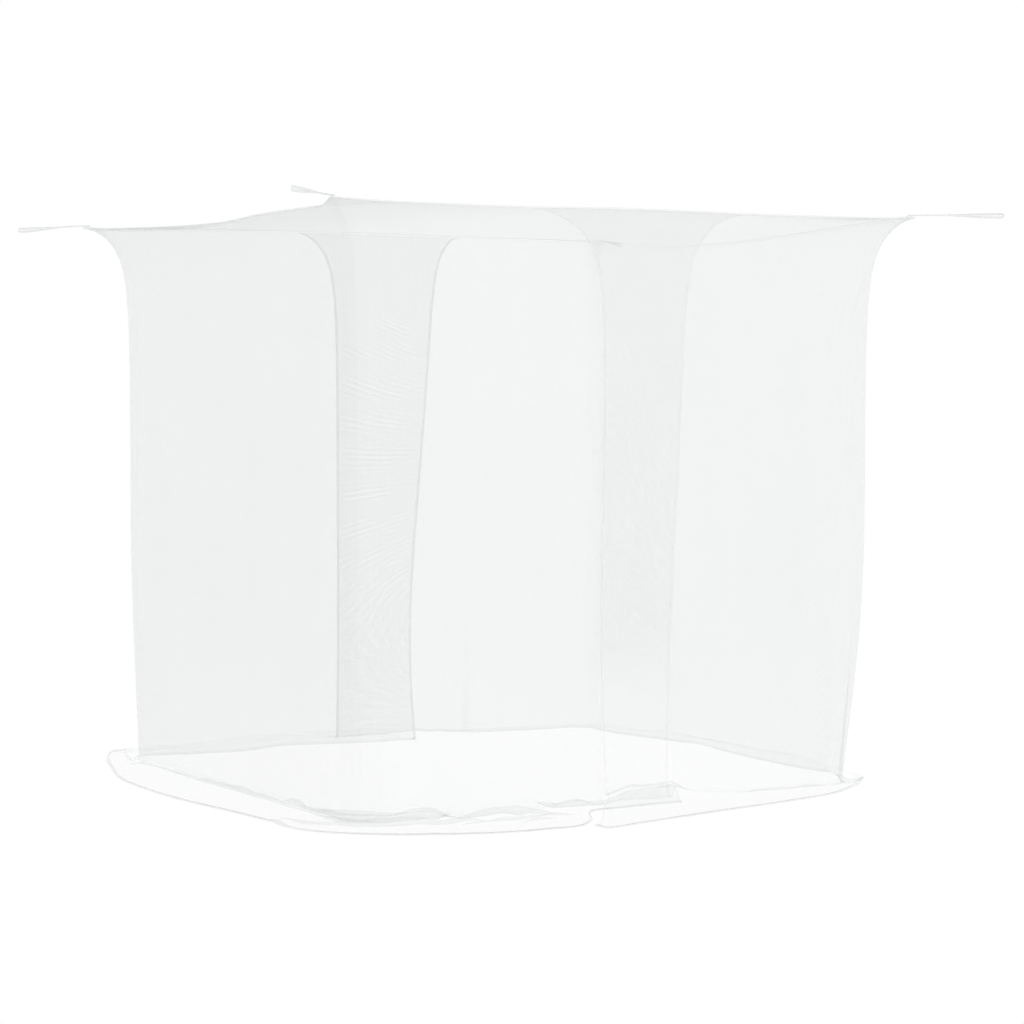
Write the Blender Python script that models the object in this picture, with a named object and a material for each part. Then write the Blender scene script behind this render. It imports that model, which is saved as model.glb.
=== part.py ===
"""Box-shaped mosquito net canopy, hung by a loop at each corner of its roof.

The roof is one flat panel. Two wide curtains hang from its seam: each goes round
two corners, and their free edges lap over each other in the middle of the front
and of the back, which makes the two ways in. The curtains are cut longer than the
net hangs, so they pile up a little on the floor and spread outwards to their hems.

Units are metres, +Z is up. A place round the net is given by its ring number: 0 is
the front left corner, 1 the front right, 2 the back right, 3 the back left, and 4
the front left again. 2.25 is a quarter of the way along the back, from the right.
"""

import math
from collections import namedtuple

import bpy
from mathutils import Vector

# ---------------------------------------------------------------- driving sizes
ROOF_LENGTH = 2.10  # roof panel as cut, along X
ROOF_WIDTH = 1.94  # roof panel as cut, along Y
HANG_HEIGHT = 1.84  # roof corners above the floor
NET_THICKNESS = 0.002
TOUCH_GAP = 0.0004  # between pieces that are sewn to each other

# Roof: how far its four edges bow in, and how far they droop at these shares of
# their length. Each ends as the next one starts. The sides are taken in the order
# of the ring numbers.
DROOP_SHARES = (0.0, 0.1, 0.3, 0.5, 0.7, 0.9, 1.0)
RoofEdge = namedtuple("RoofEdge", "bow start tenth third half past_half near_end")
ROOF_EDGES = (
    RoofEdge(0.050, 0.022, 0.008, 0.007, 0.001, 0.005, 0.006),  # front
    RoofEdge(0.050, 0.003, 0.009, 0.030, 0.043, 0.041, 0.015),  # right
    RoofEdge(0.060, 0.003, 0.000, 0.000, -0.004, -0.003, 0.001),  # back
    RoofEdge(0.050, 0.004, 0.016, 0.031, 0.034, 0.020, 0.020),  # left
)
EDGE_REACH = 0.11  # how far in from an edge its droop dies out
ROOF_MIDDLE_SAG = 0.030
# Each corner is pulled up level by its loop, this far along X and along Y.
CornerPull = namedtuple("CornerPull", "reach_x reach_y")
CORNER_PULLS = (
    CornerPull(0.200, 0.045),  # front left
    CornerPull(0.060, 0.060),  # front right
    CornerPull(0.060, 0.060),  # back right
    CornerPull(0.060, 0.060),  # back left
)

# Walls: the rounded box that they hang in, once they have swung in from the seam.
WALL_LEFT, WALL_RIGHT = -0.945, 0.957
WALL_FRONT, WALL_BACK = -0.885, 0.900
WALL_CORNER_RADIUS = 0.065
FOOT_CORNER_RADIUS = 0.120  # the corners open out towards the floor
FLARE_DEPTH, FLARE_POWER = 0.070, 0.80  # how fast a wall swings in below the seam
FOOT_SWING_HEIGHT = 0.900  # below this the walls move to the line of their foot

# Long shallow waves in all the cloth: waves along one side (in quarters, so that they
# meet again after four sides), phase, depth.
Wave = namedtuple("Wave", "per_side phase depth")
WAVES = (Wave(1.75, 0.15, 0.006), Wave(3.25, 0.60, 0.004), Wave(4.50, 0.30, 0.002))

# Upright folds in the lower part of the walls.
Fold = namedtuple("Fold", "ring top depth half_width")
FOLDS = (
    Fold(0.940, 0.80, 0.018, 0.045),
    Fold(1.070, 0.95, -0.022, 0.050),
    Fold(2.305, 1.00, 0.020, 0.055),
    Fold(3.930, 0.60, 0.014, 0.050),
    Fold(4.075, 0.75, 0.016, 0.055),
)

# Ridges of cloth that has piled up on the floor. Across is measured outwards from
# the wall line.
Ridge = namedtuple("Ridge", "start end across_start across_end height half_width")
RIDGES = (
    Ridge(2.86, 3.12, 0.062, 0.055, 0.020, 0.045),  # back left corner
    Ridge(3.10, 3.52, 0.048, 0.052, 0.016, 0.035),  # left
    Ridge(3.44, 3.90, 0.056, 0.050, 0.022, 0.040),
    Ridge(3.80, 4.16, 0.072, 0.085, 0.034, 0.048),  # round the front left corner
    Ridge(3.90, 4.10, 0.165, 0.160, 0.018, 0.040),
    Ridge(4.12, 4.30, 0.115, 0.150, 0.026, 0.042),
    Ridge(4.16, 4.42, 0.060, 0.066, 0.022, 0.040),
    Ridge(4.44, 4.64, 0.058, 0.052, 0.025, 0.046),  # under the front overlap
    Ridge(4.68, 4.93, 0.052, 0.050, 0.010, 0.040),
    Ridge(0.90, 1.10, 0.030, 0.055, 0.018, 0.040),  # front right corner
    Ridge(1.20, 1.90, 0.100, 0.095, 0.012, 0.035),
    Ridge(2.40, 2.75, 0.090, 0.100, 0.008, 0.042),  # back
)
RIDGE_FADE = 0.060  # ring length over which a ridge's ends die out
RIDGE_ROOT = 0.012  # a ridge is level this far in from the wall line

# Each curtain: from where its foot stands to its hem, outwards from the wall line.
Foot = namedtuple("Foot", "ring stand hem")
LEFT_FEET = (
    Foot(2.415, -0.080, 0.140),
    Foot(2.530, -0.045, 0.170),
    Foot(2.620, -0.012, 0.310),
    Foot(2.690, 0.005, 0.310),
    Foot(2.740, -0.040, 0.260),
    Foot(2.800, -0.062, 0.215),
    Foot(2.920, -0.050, 0.130),
    Foot(3.000, -0.004, 0.085),
    Foot(3.070, -0.030, 0.115),
    Foot(3.280, -0.030, 0.220),
    Foot(3.430, -0.010, 0.244),
    Foot(3.560, -0.018, 0.245),
    Foot(3.700, -0.026, 0.224),
    Foot(3.800, -0.022, 0.204),
    Foot(3.930, -0.030, 0.178),
    Foot(3.985, -0.035, 0.216),
    Foot(4.020, -0.030, 0.240),
    Foot(4.060, -0.012, 0.306),
    Foot(4.120, 0.020, 0.350),
    Foot(4.190, 0.095, 0.373),
    Foot(4.250, 0.112, 0.374),
    Foot(4.295, 0.085, 0.366),
    Foot(4.345, 0.042, 0.275),
    Foot(4.390, 0.030, 0.135),
    Foot(4.440, 0.028, 0.112),
    Foot(4.600, 0.012, 0.098),
)
RIGHT_FEET = (
    Foot(0.300, 0.052, 0.422),
    Foot(0.335, 0.050, 0.440),
    Foot(0.400, 0.042, 0.404),
    Foot(0.530, 0.030, 0.343),
    Foot(0.650, 0.016, 0.290),
    Foot(0.780, 0.000, 0.232),
    Foot(0.870, -0.010, 0.172),
    Foot(0.940, -0.030, 0.084),
    Foot(1.000, -0.045, 0.022),
    Foot(1.050, -0.034, 0.030),
    Foot(1.100, -0.022, 0.060),
    Foot(1.160, -0.040, 0.080),
    Foot(1.330, -0.034, 0.110),
    Foot(1.460, -0.012, 0.130),
    Foot(1.600, 0.018, 0.150),
    Foot(1.720, -0.030, 0.130),
    Foot(1.810, -0.060, 0.100),
    Foot(1.900, -0.066, 0.070),
    Foot(2.000, -0.050, 0.055),
    Foot(2.150, -0.030, 0.080),
    Foot(2.309, 0.010, 0.110),
    Foot(2.450, 0.010, 0.190),
    Foot(2.580, 0.016, 0.240),
)
FOOT_RADIUS = 0.020  # the bend where a wall turns outwards onto the floor

# A curtain's free edges: ring numbers at the seam, half way down, at the floor and
# at the hem. inset keeps the inner curtain inside the outer one.
FreeEdge = namedtuple("FreeEdge", "seam middle floor hem")
Curtain = namedtuple("Curtain", "name first last feet seam_slot inset")
CURTAINS = (
    Curtain(
        "curtain_left",
        FreeEdge(2.315, 2.356, 2.415, 2.425),
        FreeEdge(4.700, 4.622, 4.587, 4.580),
        LEFT_FEET,
        0.0048,
        0.014,
    ),
    Curtain(
        "curtain_right",
        FreeEdge(0.335, 0.458, 0.445, 0.300),
        FreeEdge(2.625, 2.565, 2.566, 2.580),
        RIGHT_FEET,
        0.0013,
        0.0,
    ),
)
# In the middle of the front and of the back the outer curtain's foot lies on top of
# the inner one's, and comes down to the floor past its sides and its hem.
LIFT = 0.014
LIFT_START, LIFT_END = 2.38, 4.64
LIFT_FADE = 0.10
LIFT_PAST_HEM, LIFT_FADE_OUTWARDS = 0.03, 0.08
SEAM_HANG = 0.0028  # curtain's top edge below the middle of the roof's cloth
SLOT_DEPTH = 0.012  # how fast a curtain leaves its slot for its full inset

# Where the cloth is sampled: along one side, down a wall, round the foot's bend, and
# out over the floor. Near a corner and near the seam the steps are short.
CORNER_STEPS = (0.0, 0.01, 0.03, 0.06)
SIDE_STEP = 0.05
CLOSEST_COLUMNS = 0.015
WALL_DROPS = (0.0, 0.008, 0.028, 0.065, 0.13, 0.24, 0.42, 0.70, 1.05, 1.40, 1.66, 1.80)
BEND_DEGREES = (30, 60, 90)
PILE_REACHES = (0.018, 0.038, 0.058, 0.080, 0.108, 0.140)
FULL_PILE_SKIRT = 0.20  # a narrower skirt has its pile squeezed together
SKIRT_SHARES = (1 / 3, 2 / 3, 1.0)

# Binding tape, folded over the roof seam.
TAPE_THICKNESS = 0.002
TAPE_GAP = 0.0007  # between the roof panel and the tape on top of it
TAPE_OUTSIDE = 0.011  # down the outside of the seam
TAPE_ON_TOP = 0.009  # over the roof panel's edge

# Hanging loops: a doubled tape, its ends sewn flat on the roof's corner.
LOOP_LENGTHS = (0.306, 0.286, 0.280, 0.242)  # beyond each roof corner
LOOP_DROOPS = (0.000, 0.005, 0.005, 0.018)
LOOP_NAMES = ("front_left", "front_right", "back_right", "back_left")
LOOP_TAPE = 0.0022
LOOP_TAPE_WIDTH = 0.009
LOOP_EYE_RADIUS = 0.0064  # outside of the tape round the eye
LOOP_TAB = 0.022  # sewn length, inwards from the corner
LOOP_OPENS_AT = 0.22  # share of its length where the two tapes part
LOOP_STEPS = 8
EYE_STEPS = 8

NET_COLOUR = (0.90, 0.93, 0.93, 1.0)
TAPE_COLOUR = (0.80, 0.83, 0.83, 1.0)


# ---------------------------------------------------------------- small helpers
def clamp(value, low=0.0, high=1.0):
    return min(max(value, low), high)


def smooth(value):
    share = clamp(value)
    return share * share * (3 - 2 * share)


def mix(first, second, share):
    return first + (second - first) * share


def smooth_curve(places, values, place):
    """Reads a smooth curve that runs through these values at these places."""
    last = len(places) - 1
    place = clamp(place, places[0], places[-1])
    low = max(i for i in range(last) if places[i] <= place)

    def slope(i):
        before, after = max(i - 1, 0), min(i + 1, last)
        return (values[after] - values[before]) / (places[after] - places[before])

    length = places[low + 1] - places[low]
    share = (place - places[low]) / length
    ease_in = share * (1 - share) ** 2 * length * slope(low)
    ease_out = share * share * (share - 1) * length * slope(low + 1)
    return mix(values[low], values[low + 1], smooth(share)) + ease_in + ease_out


def read_feet(feet, ring, column):
    """One column of a table of feet, read at any ring number."""
    places = [foot.ring for foot in feet]
    return smooth_curve(places, [getattr(foot, column) for foot in feet], ring)


def fabric(name, colour):
    material = bpy.data.materials.new(name)
    material.use_nodes = True
    shader = material.node_tree.nodes["Principled BSDF"]
    shader.inputs["Base Color"].default_value = colour
    shader.inputs["Roughness"].default_value = 0.85
    shader.inputs["Metallic"].default_value = 0.0
    return material


def add_mesh(name, points, faces, material):
    mesh = bpy.data.meshes.new(name)
    mesh.from_pydata([tuple(point) for point in points], [], faces)
    mesh.materials.append(material)
    mesh.shade_smooth()
    mesh.update()
    piece = bpy.data.objects.new(name, mesh)
    bpy.context.scene.collection.objects.link(piece)
    return piece


def add_sheet(name, rows, material):
    """A grid of points, row by row, thickened evenly to both sides."""
    wide = len(rows[0])
    points = [point for row in rows for point in row]
    faces = [
        (r * wide + c, (r + 1) * wide + c, (r + 1) * wide + c + 1, r * wide + c + 1)
        for r in range(len(rows) - 1)
        for c in range(wide - 1)
    ]
    sheet = add_mesh(name, points, faces, material)
    solid = sheet.modifiers.new("cloth thickness", "SOLIDIFY")
    solid.thickness = NET_THICKNESS
    solid.offset = 0.0
    return sheet


# ---------------------------------------------------------------- roof
def edge_bow(side, share):
    return ROOF_EDGES[side].bow * 4 * share * (1 - share)


def edge_droop(side, share):
    droops = (*ROOF_EDGES[side][1:], ROOF_EDGES[(side + 1) % 4].start)
    return smooth_curve(DROOP_SHARES, droops, share)


def roof_point(a, b):
    """A point of the roof: a runs left to right and b front to back, 0 to 1."""
    x = ROOF_LENGTH * (a - 0.5)
    x += (1 - a) * edge_bow(3, 1 - b) - a * edge_bow(1, b)
    y = ROOF_WIDTH * (b - 0.5)
    y += (1 - b) * edge_bow(0, a) - b * edge_bow(2, 1 - a)
    from_edge = (b * ROOF_WIDTH, (1 - a) * ROOF_LENGTH, (1 - b) * ROOF_WIDTH, a * ROOF_LENGTH)
    along_edge = (a, b, 1 - a, 1 - b)
    near = [math.exp(-away / EDGE_REACH) for away in from_edge]
    droop = sum(near[side] * edge_droop(side, along_edge[side]) for side in range(4))
    loose = 1.0
    for corner, pull in enumerate(CORNER_PULLS):
        # A corner's droop is in both of its edges, so it is taken off once.
        droop -= near[corner] * near[corner - 1] * ROOF_EDGES[corner].start
        away_x = from_edge[3 if corner in (0, 3) else 1]
        away_y = from_edge[0 if corner < 2 else 2]
        away = math.hypot(away_x / pull.reach_x, away_y / pull.reach_y)
        loose *= 1 - math.exp(-away * away)
    middle = ROOF_MIDDLE_SAG * (16 * a * (1 - a) * b * (1 - b)) ** 1.5
    return Vector((x, y, HANG_HEIGHT - droop * loose - middle))


def roof_height(x, y):
    """The roof's height over a point of the plan."""
    a, b = x / ROOF_LENGTH + 0.5, y / ROOF_WIDTH + 0.5
    for _ in range(4):
        over = roof_point(clamp(a), clamp(b))
        a += (x - over.x) / ROOF_LENGTH
        b += (y - over.y) / ROOF_WIDTH
    return roof_point(clamp(a), clamp(b)).z


def side_steps():
    middle = [i * SIDE_STEP for i in range(2, round(1 / SIDE_STEP) - 1)]
    return [*CORNER_STEPS, *middle, *(1 - step for step in reversed(CORNER_STEPS))]


def seam_point(ring, slot=0.0):
    """A point of the roof seam, moved inwards by slot."""
    side, share = int(ring) % 4, ring - int(ring)
    a, b = ((share, 0), (1, share), (1 - share, 1), (0, 1 - share))[side]
    slot_a, slot_b = slot / ROOF_LENGTH, slot / ROOF_WIDTH
    return roof_point(clamp(a, slot_a, 1 - slot_a), clamp(b, slot_b, 1 - slot_b))


def build_roof(material):
    steps = side_steps()
    rows = [[roof_point(a, b) for a in steps] for b in reversed(steps)]
    return add_sheet("roof_panel", rows, material)


# ---------------------------------------------------------------- curtains
def wall_line(ring, height=0.0):
    """(point, outward normal) on the rounded box that the walls hang in."""
    corners = (
        Vector((WALL_LEFT, WALL_FRONT)),
        Vector((WALL_RIGHT, WALL_FRONT)),
        Vector((WALL_RIGHT, WALL_BACK)),
        Vector((WALL_LEFT, WALL_BACK)),
    )
    side = int(ring) % 4
    start, end = corners[side], corners[(side + 1) % 4]
    along = (end - start).normalized()
    outward = Vector((along.y, -along.x))
    opening = smooth(1 - height / FOOT_SWING_HEIGHT)
    radius = mix(WALL_CORNER_RADIUS, FOOT_CORNER_RADIUS, opening)
    half_arc = radius * math.pi / 4
    straight = (end - start).length - 2 * radius
    gone = (ring - int(ring)) * (straight + 2 * half_arc)
    if gone < half_arc:
        turn = (gone - half_arc) / radius
        centre = start + (along - outward) * radius
    elif gone > half_arc + straight:
        turn = (gone - half_arc - straight) / radius
        centre = end - (along + outward) * radius
    else:
        return start + along * (radius + gone - half_arc), outward
    normal = outward * math.cos(turn) + along * math.sin(turn)
    return centre + normal * radius, normal


def waves(ring, height):
    """How far the wall's waves and upright folds move it outwards."""
    growth = mix(0.3, 1.0, clamp(1 - height / HANG_HEIGHT))
    out = 0.0
    for wave in WAVES:
        turn = 2 * math.pi * (wave.per_side * (ring % 4) + wave.phase)
        out += growth * wave.depth * math.sin(turn)
    for fold in FOLDS:
        away = abs((ring % 4) - (fold.ring % 4))
        if away < fold.half_width and height < fold.top:
            shape = math.cos(math.pi / 2 * away / fold.half_width) ** 2
            out += fold.depth * shape * smooth(1 - height / fold.top)
    return out


def pile_height(ring, across):
    """How high the piled cloth stands over the floor."""
    height = 0.0
    for ridge in RIDGES:
        place = ring
        if place < ridge.start - 0.2:
            place += 4
        if not ridge.start < place < ridge.end:
            continue
        share = (place - ridge.start) / (ridge.end - ridge.start)
        ends = min(place - ridge.start, ridge.end - place) / RIDGE_FADE
        away = abs(across - mix(ridge.across_start, ridge.across_end, share))
        if away < ridge.half_width:
            shape = math.cos(math.pi / 2 * away / ridge.half_width) ** 2
            height += ridge.height * shape * smooth(ends)
    return height * smooth(across / RIDGE_ROOT - 1)


def lift_over(curtain, ring, across):
    """How far this curtain's foot is held up by the inner one's below it."""
    inner = CURTAINS[0]
    if curtain is inner:
        return 0.0
    place = ring if ring > LIFT_START - LIFT_FADE else ring + 4
    inside = min(place - LIFT_START, LIFT_END - place) / LIFT_FADE + 1
    past_hem = across - read_feet(inner.feet, place, "hem") - LIFT_PAST_HEM
    return LIFT * smooth(inside) * smooth(1 - past_hem / LIFT_FADE_OUTWARDS)


def free_edge(edge, drop, spread):
    """The free edge's ring number at a drop below the seam, then out to the hem."""
    if spread > 0:
        return mix(edge.floor, edge.hem, spread)
    swing = math.exp(-((drop / FLARE_DEPTH) ** FLARE_POWER))
    lean = smooth(drop / HANG_HEIGHT)
    return mix(mix(edge.middle, edge.floor, lean), edge.seam, swing)


def column_ring(curtain, seam_ring, drop, spread=0.0):
    """Where a column that starts at seam_ring has got to, further down the cloth."""
    first_corner = math.ceil(curtain.first.seam)
    last_corner = math.floor(curtain.last.seam)
    if seam_ring < first_corner:
        corner, edge = first_corner, curtain.first
    elif seam_ring > last_corner:
        corner, edge = last_corner, curtain.last
    else:
        return seam_ring
    share = (seam_ring - corner) / (edge.seam - corner)
    return mix(corner, free_edge(edge, drop, spread), share)


def foot_place(curtain, ring):
    """(where the foot stands, where its hem lies), outwards from the wall line."""
    stand = read_feet(curtain.feet, ring, "stand") + waves(ring, 0.0) - curtain.inset
    return stand, max(read_feet(curtain.feet, ring, "hem"), stand + 3 * FOOT_RADIUS)


def floor_level(curtain, ring, across):
    """Height of the middle of the cloth where it lies on the floor or on a pile."""
    lying = NET_THICKNESS / 2 + lift_over(curtain, ring, across)
    return lying + pile_height(ring, across)


def wall_point(curtain, seam_ring, drop):
    """A point of the hanging part, at a drop below the seam."""
    share = drop / WALL_DROPS[-1]
    ring = column_ring(curtain, seam_ring, drop)
    stand, _ = foot_place(curtain, ring)
    touch = floor_level(curtain, ring, stand) + FOOT_RADIUS
    height = mix(HANG_HEIGHT, touch, share)
    line, normal = wall_line(ring, height)
    standing = (1 - clamp(height / FOOT_SWING_HEIGHT)) ** 2
    floor_shift = read_feet(curtain.feet, ring, "stand")
    settled = smooth(1 - height / FOOT_SWING_HEIGHT)
    leaves_slot = math.exp(-drop / SLOT_DEPTH)
    inset = mix(curtain.inset, curtain.seam_slot, leaves_slot)
    out = floor_shift * standing * settled + waves(ring, height) - inset
    if share == 1.0:
        line, normal = wall_line(ring)
        out = stand
    hung = line + normal * out
    seam = seam_point(ring, inset)
    swing = math.exp(-((drop / FLARE_DEPTH) ** FLARE_POWER))
    x, y = mix(hung.x, seam.x, swing), mix(hung.y, seam.y, swing)
    return Vector((x, y, mix(roof_height(x, y) - SEAM_HANG, touch, share)))


def floor_point(curtain, seam_ring, row):
    """A point of the part on the floor: the bend first, then the pile and skirt."""
    ring = column_ring(curtain, seam_ring, HANG_HEIGHT)
    stand, hem = foot_place(curtain, ring)
    if row < len(BEND_DEGREES):
        angle = math.radians(BEND_DEGREES[row])
        across = stand + FOOT_RADIUS * (1 - math.cos(angle))
        line, normal = wall_line(ring)
        height = floor_level(curtain, ring, across) + FOOT_RADIUS * (1 - math.sin(angle))
        return (line + normal * across).to_3d() + Vector((0, 0, height))
    start = stand + FOOT_RADIUS
    skirt = hem - start
    reaches = [reach * min(1.0, skirt / FULL_PILE_SKIRT) for reach in PILE_REACHES]
    reaches += [mix(reaches[-1], skirt, share) for share in SKIRT_SHARES]
    spread = reaches[row - len(BEND_DEGREES)] / skirt
    ring = column_ring(curtain, seam_ring, HANG_HEIGHT, spread)
    stand, hem = foot_place(curtain, ring)
    across = mix(stand + FOOT_RADIUS, hem, spread)
    line, normal = wall_line(ring)
    height = floor_level(curtain, ring, across)
    return (line + normal * across).to_3d() + Vector((0, 0, height))


def curtain_columns(curtain):
    """Ring numbers at the seam, from one free edge to the other."""
    first, last = curtain.first.seam, curtain.last.seam
    grid = [side + step for side in range(5) for step in side_steps()[:-1]]
    between = [r for r in grid if first + CLOSEST_COLUMNS < r < last - CLOSEST_COLUMNS]
    return [first, *between, last]


def build_curtain(curtain, material):
    columns = curtain_columns(curtain)
    rows = [[wall_point(curtain, ring, drop) for ring in columns] for drop in WALL_DROPS]
    for row in range(len(BEND_DEGREES) + len(PILE_REACHES) + len(SKIRT_SHARES)):
        rows.append([floor_point(curtain, ring, row) for ring in columns])
    return add_sheet(curtain.name, rows, material)


# ---------------------------------------------------------------- binding
def build_binding(material):
    """One tape round the whole seam, an upside-down L in section."""
    stations = [side + step for side in range(4) for step in side_steps()[:-1]]
    seam = [seam_point(ring) for ring in stations]
    under = NET_THICKNESS / 2 + TAPE_GAP
    top = under + TAPE_THICKNESS
    outside = TOUCH_GAP + TAPE_THICKNESS
    section = (
        (-TAPE_ON_TOP, under),
        (TOUCH_GAP, under),
        (TOUCH_GAP, -TAPE_OUTSIDE),
        (outside, -TAPE_OUTSIDE),
        (outside, top),
        (-TAPE_ON_TOP, top),
    )
    one_step = CORNER_STEPS[1] * ROOF_WIDTH
    points = []
    for i, here in enumerate(seam):
        roof_rise = (seam_point(stations[i], one_step).z - here.z) / one_step
        before = (here - seam[i - 1]).xy.normalized()
        after = (seam[(i + 1) % len(seam)] - here).xy.normalized()
        outs = [Vector((along.y, -along.x)) for along in (before, after)]
        mitre = (outs[0] + outs[1]) / (1 + outs[0].dot(outs[1]))
        for out, up in section:
            height = up + roof_rise * max(0.0, -out)
            points.append(here + Vector((mitre.x * out, mitre.y * out, height)))
    count, size = len(seam), len(section)
    faces = []
    for i in range(count):
        for j in range(size):
            k, after = (j + 1) % size, (i + 1) % count
            faces.append((i * size + j, after * size + j, after * size + k, i * size + k))
    return add_mesh("edge_binding", points, faces, material)


# ---------------------------------------------------------------- loops
def loop_outlines(length):
    """The loop seen from the side: (outer outline, outline of its eye)."""
    eye_inside = LOOP_EYE_RADIUS - LOOP_TAPE
    eye_centre = length - LOOP_EYE_RADIUS
    opens = LOOP_OPENS_AT * length
    outer_top, inner_top = [(-LOOP_TAB, LOOP_TAPE), (LOOP_TAB / 2, LOOP_TAPE)], []
    for i in range(LOOP_STEPS + 1):
        share = i / LOOP_STEPS
        gap = eye_inside * smooth(share)
        along = mix(opens, eye_centre, share)
        outer_top.append((along, LOOP_TAPE + gap))
        if 0 < i:
            inner_top.append((along, gap))
    for i in range(1, EYE_STEPS // 2):
        angle = math.pi / 2 - math.pi * i / EYE_STEPS
        for outline, radius in ((outer_top, LOOP_EYE_RADIUS), (inner_top, eye_inside)):
            outline.append((eye_centre + radius * math.cos(angle), radius * math.sin(angle)))
    outer = outer_top + [(eye_centre + LOOP_EYE_RADIUS, 0.0)]
    inner = [(opens, 0.0)] + inner_top + [(eye_centre + eye_inside, 0.0)]
    outer += [(along, -up) for along, up in reversed(outer_top)]
    inner += [(along, -up) for along, up in reversed(inner_top)]
    return outer, inner


def build_loop(corner, material):
    """A tape loop that reaches straight out from a roof corner."""
    length, droop = LOOP_LENGTHS[corner], LOOP_DROOPS[corner]
    profile = bpy.data.curves.new("hanging_loop_" + LOOP_NAMES[corner], "CURVE")
    profile.dimensions = "2D"
    profile.fill_mode = "BOTH"
    profile.extrude = LOOP_TAPE_WIDTH / 2
    profile.resolution_u = 1
    for outline in loop_outlines(length):
        spline = profile.splines.new("POLY")
        spline.points.add(len(outline) - 1)
        for point, (along, up) in zip(spline.points, outline):
            sag = droop * smooth((along - LOOP_TAB / 2) / length)
            point.co = (along, up - sag, 0.0, 1.0)
        spline.use_cyclic_u = True
    profile.materials.append(material)
    loop = bpy.data.objects.new(profile.name, profile)
    bpy.context.scene.collection.objects.link(loop)
    tip = seam_point(corner)
    seat = NET_THICKNESS / 2 + TAPE_GAP + TAPE_THICKNESS + TOUCH_GAP + LOOP_TAPE
    loop.location = tip + Vector((0, 0, seat))
    loop.rotation_euler = (math.pi / 2, 0, math.atan2(tip.y, tip.x))
    return loop


# ---------------------------------------------------------------- the whole net
def stand_on_origin(pieces):
    """Puts the middle of the net's outer box over the origin, and its foot at 0."""
    canopy = bpy.data.objects.new("canopy", None)
    bpy.context.scene.collection.objects.link(canopy)
    for piece in pieces:
        piece.parent = canopy
    bpy.context.view_layer.update()
    graph = bpy.context.evaluated_depsgraph_get()
    corners = []
    for piece in pieces:
        solid = piece.evaluated_get(graph)
        mesh = solid.to_mesh()
        corners += [solid.matrix_world @ vertex.co for vertex in mesh.vertices]
        solid.to_mesh_clear()
    low = Vector(min(corner[i] for corner in corners) for i in range(3))
    high = Vector(max(corner[i] for corner in corners) for i in range(3))
    canopy.location = (-(low.x + high.x) / 2, -(low.y + high.y) / 2, -low.z)


def main():
    for old in list(bpy.data.objects):
        bpy.data.objects.remove(old)
    net = fabric("white_net", NET_COLOUR)
    tape = fabric("woven_tape", TAPE_COLOUR)
    pieces = [build_roof(net)]
    pieces += [build_curtain(curtain, net) for curtain in CURTAINS]
    pieces.append(build_binding(tape))
    pieces += [build_loop(corner, tape) for corner in range(4)]
    stand_on_origin(pieces)


main()
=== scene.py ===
# %% [markdown]
# # A box-shaped mosquito net
#
# The real thing is a room of sheer net: a flat roof panel, and two wide curtains sewn
# to its edges. Each curtain goes round two corners. Their free edges lap over each
# other in the middle of the front and of the back, and that is how one gets in. A tape
# binds the seam, and a long loop at each corner carries the whole net. The curtains are
# cut longer than they hang, so their feet pile up a little on the floor.
#
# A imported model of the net, in plain solids, is the frame of this scene. Every piece
# below is made where its solid is, as thin cloth with its own hems, creases and thread.

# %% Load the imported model
import math
from collections import namedtuple

import bpy
import numpy as np
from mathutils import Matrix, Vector


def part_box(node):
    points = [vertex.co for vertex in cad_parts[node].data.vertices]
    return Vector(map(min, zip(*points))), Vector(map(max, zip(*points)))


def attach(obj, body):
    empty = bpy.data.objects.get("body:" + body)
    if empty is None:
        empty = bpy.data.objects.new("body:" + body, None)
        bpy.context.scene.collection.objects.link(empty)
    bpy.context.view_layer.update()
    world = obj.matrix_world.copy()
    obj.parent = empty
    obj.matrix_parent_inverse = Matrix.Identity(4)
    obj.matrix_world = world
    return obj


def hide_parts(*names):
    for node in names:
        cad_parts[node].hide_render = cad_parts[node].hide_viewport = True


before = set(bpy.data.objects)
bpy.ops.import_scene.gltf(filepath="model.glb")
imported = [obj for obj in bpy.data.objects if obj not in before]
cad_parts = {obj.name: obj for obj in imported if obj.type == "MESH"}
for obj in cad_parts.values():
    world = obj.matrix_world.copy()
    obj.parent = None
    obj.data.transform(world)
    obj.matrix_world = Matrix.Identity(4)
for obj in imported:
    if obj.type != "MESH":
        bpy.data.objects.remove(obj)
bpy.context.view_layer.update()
roof_low, roof_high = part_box("roof_panel")
ROOF_MIDDLE = np.array([*((roof_low + roof_high) / 2).xy, 0.0])
print("nodes:", sorted(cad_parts), "roof's middle:", ROOF_MIDDLE.round(4))

# %% [markdown]
# ## Small tools for nodes
#
# A material is a tree of nodes, and so is a Geometry Nodes modifier. One function that
# takes all the inputs of a node at once keeps the trees below short enough to read.

# %% Tools for nodes and objects
scene = bpy.context.scene


def feed(tree, node, inputs):
    """Gives inputs of a node their values, or the sockets that they read."""
    for name, value in dict(inputs).items():
        if isinstance(value, bpy.types.NodeSocket):
            tree.links.new(value, node.inputs[name])
        else:
            node.inputs[name].default_value = value


def add_node(tree, kind, inputs=(), **settings):
    node = tree.nodes.new(kind)
    for name, value in settings.items():
        setattr(node, name, value)
    feed(tree, node, inputs)
    return node


def set_shader(material, inputs):
    feed(material.node_tree, material.node_tree.nodes["Principled BSDF"], inputs)


def add_material(name, inputs):
    material = bpy.data.materials.new(name)
    material.use_nodes = True
    set_shader(material, inputs)
    return material


def add_object(name, data):
    thing = bpy.data.objects.new(name, data)
    scene.collection.objects.link(thing)
    return thing


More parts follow.
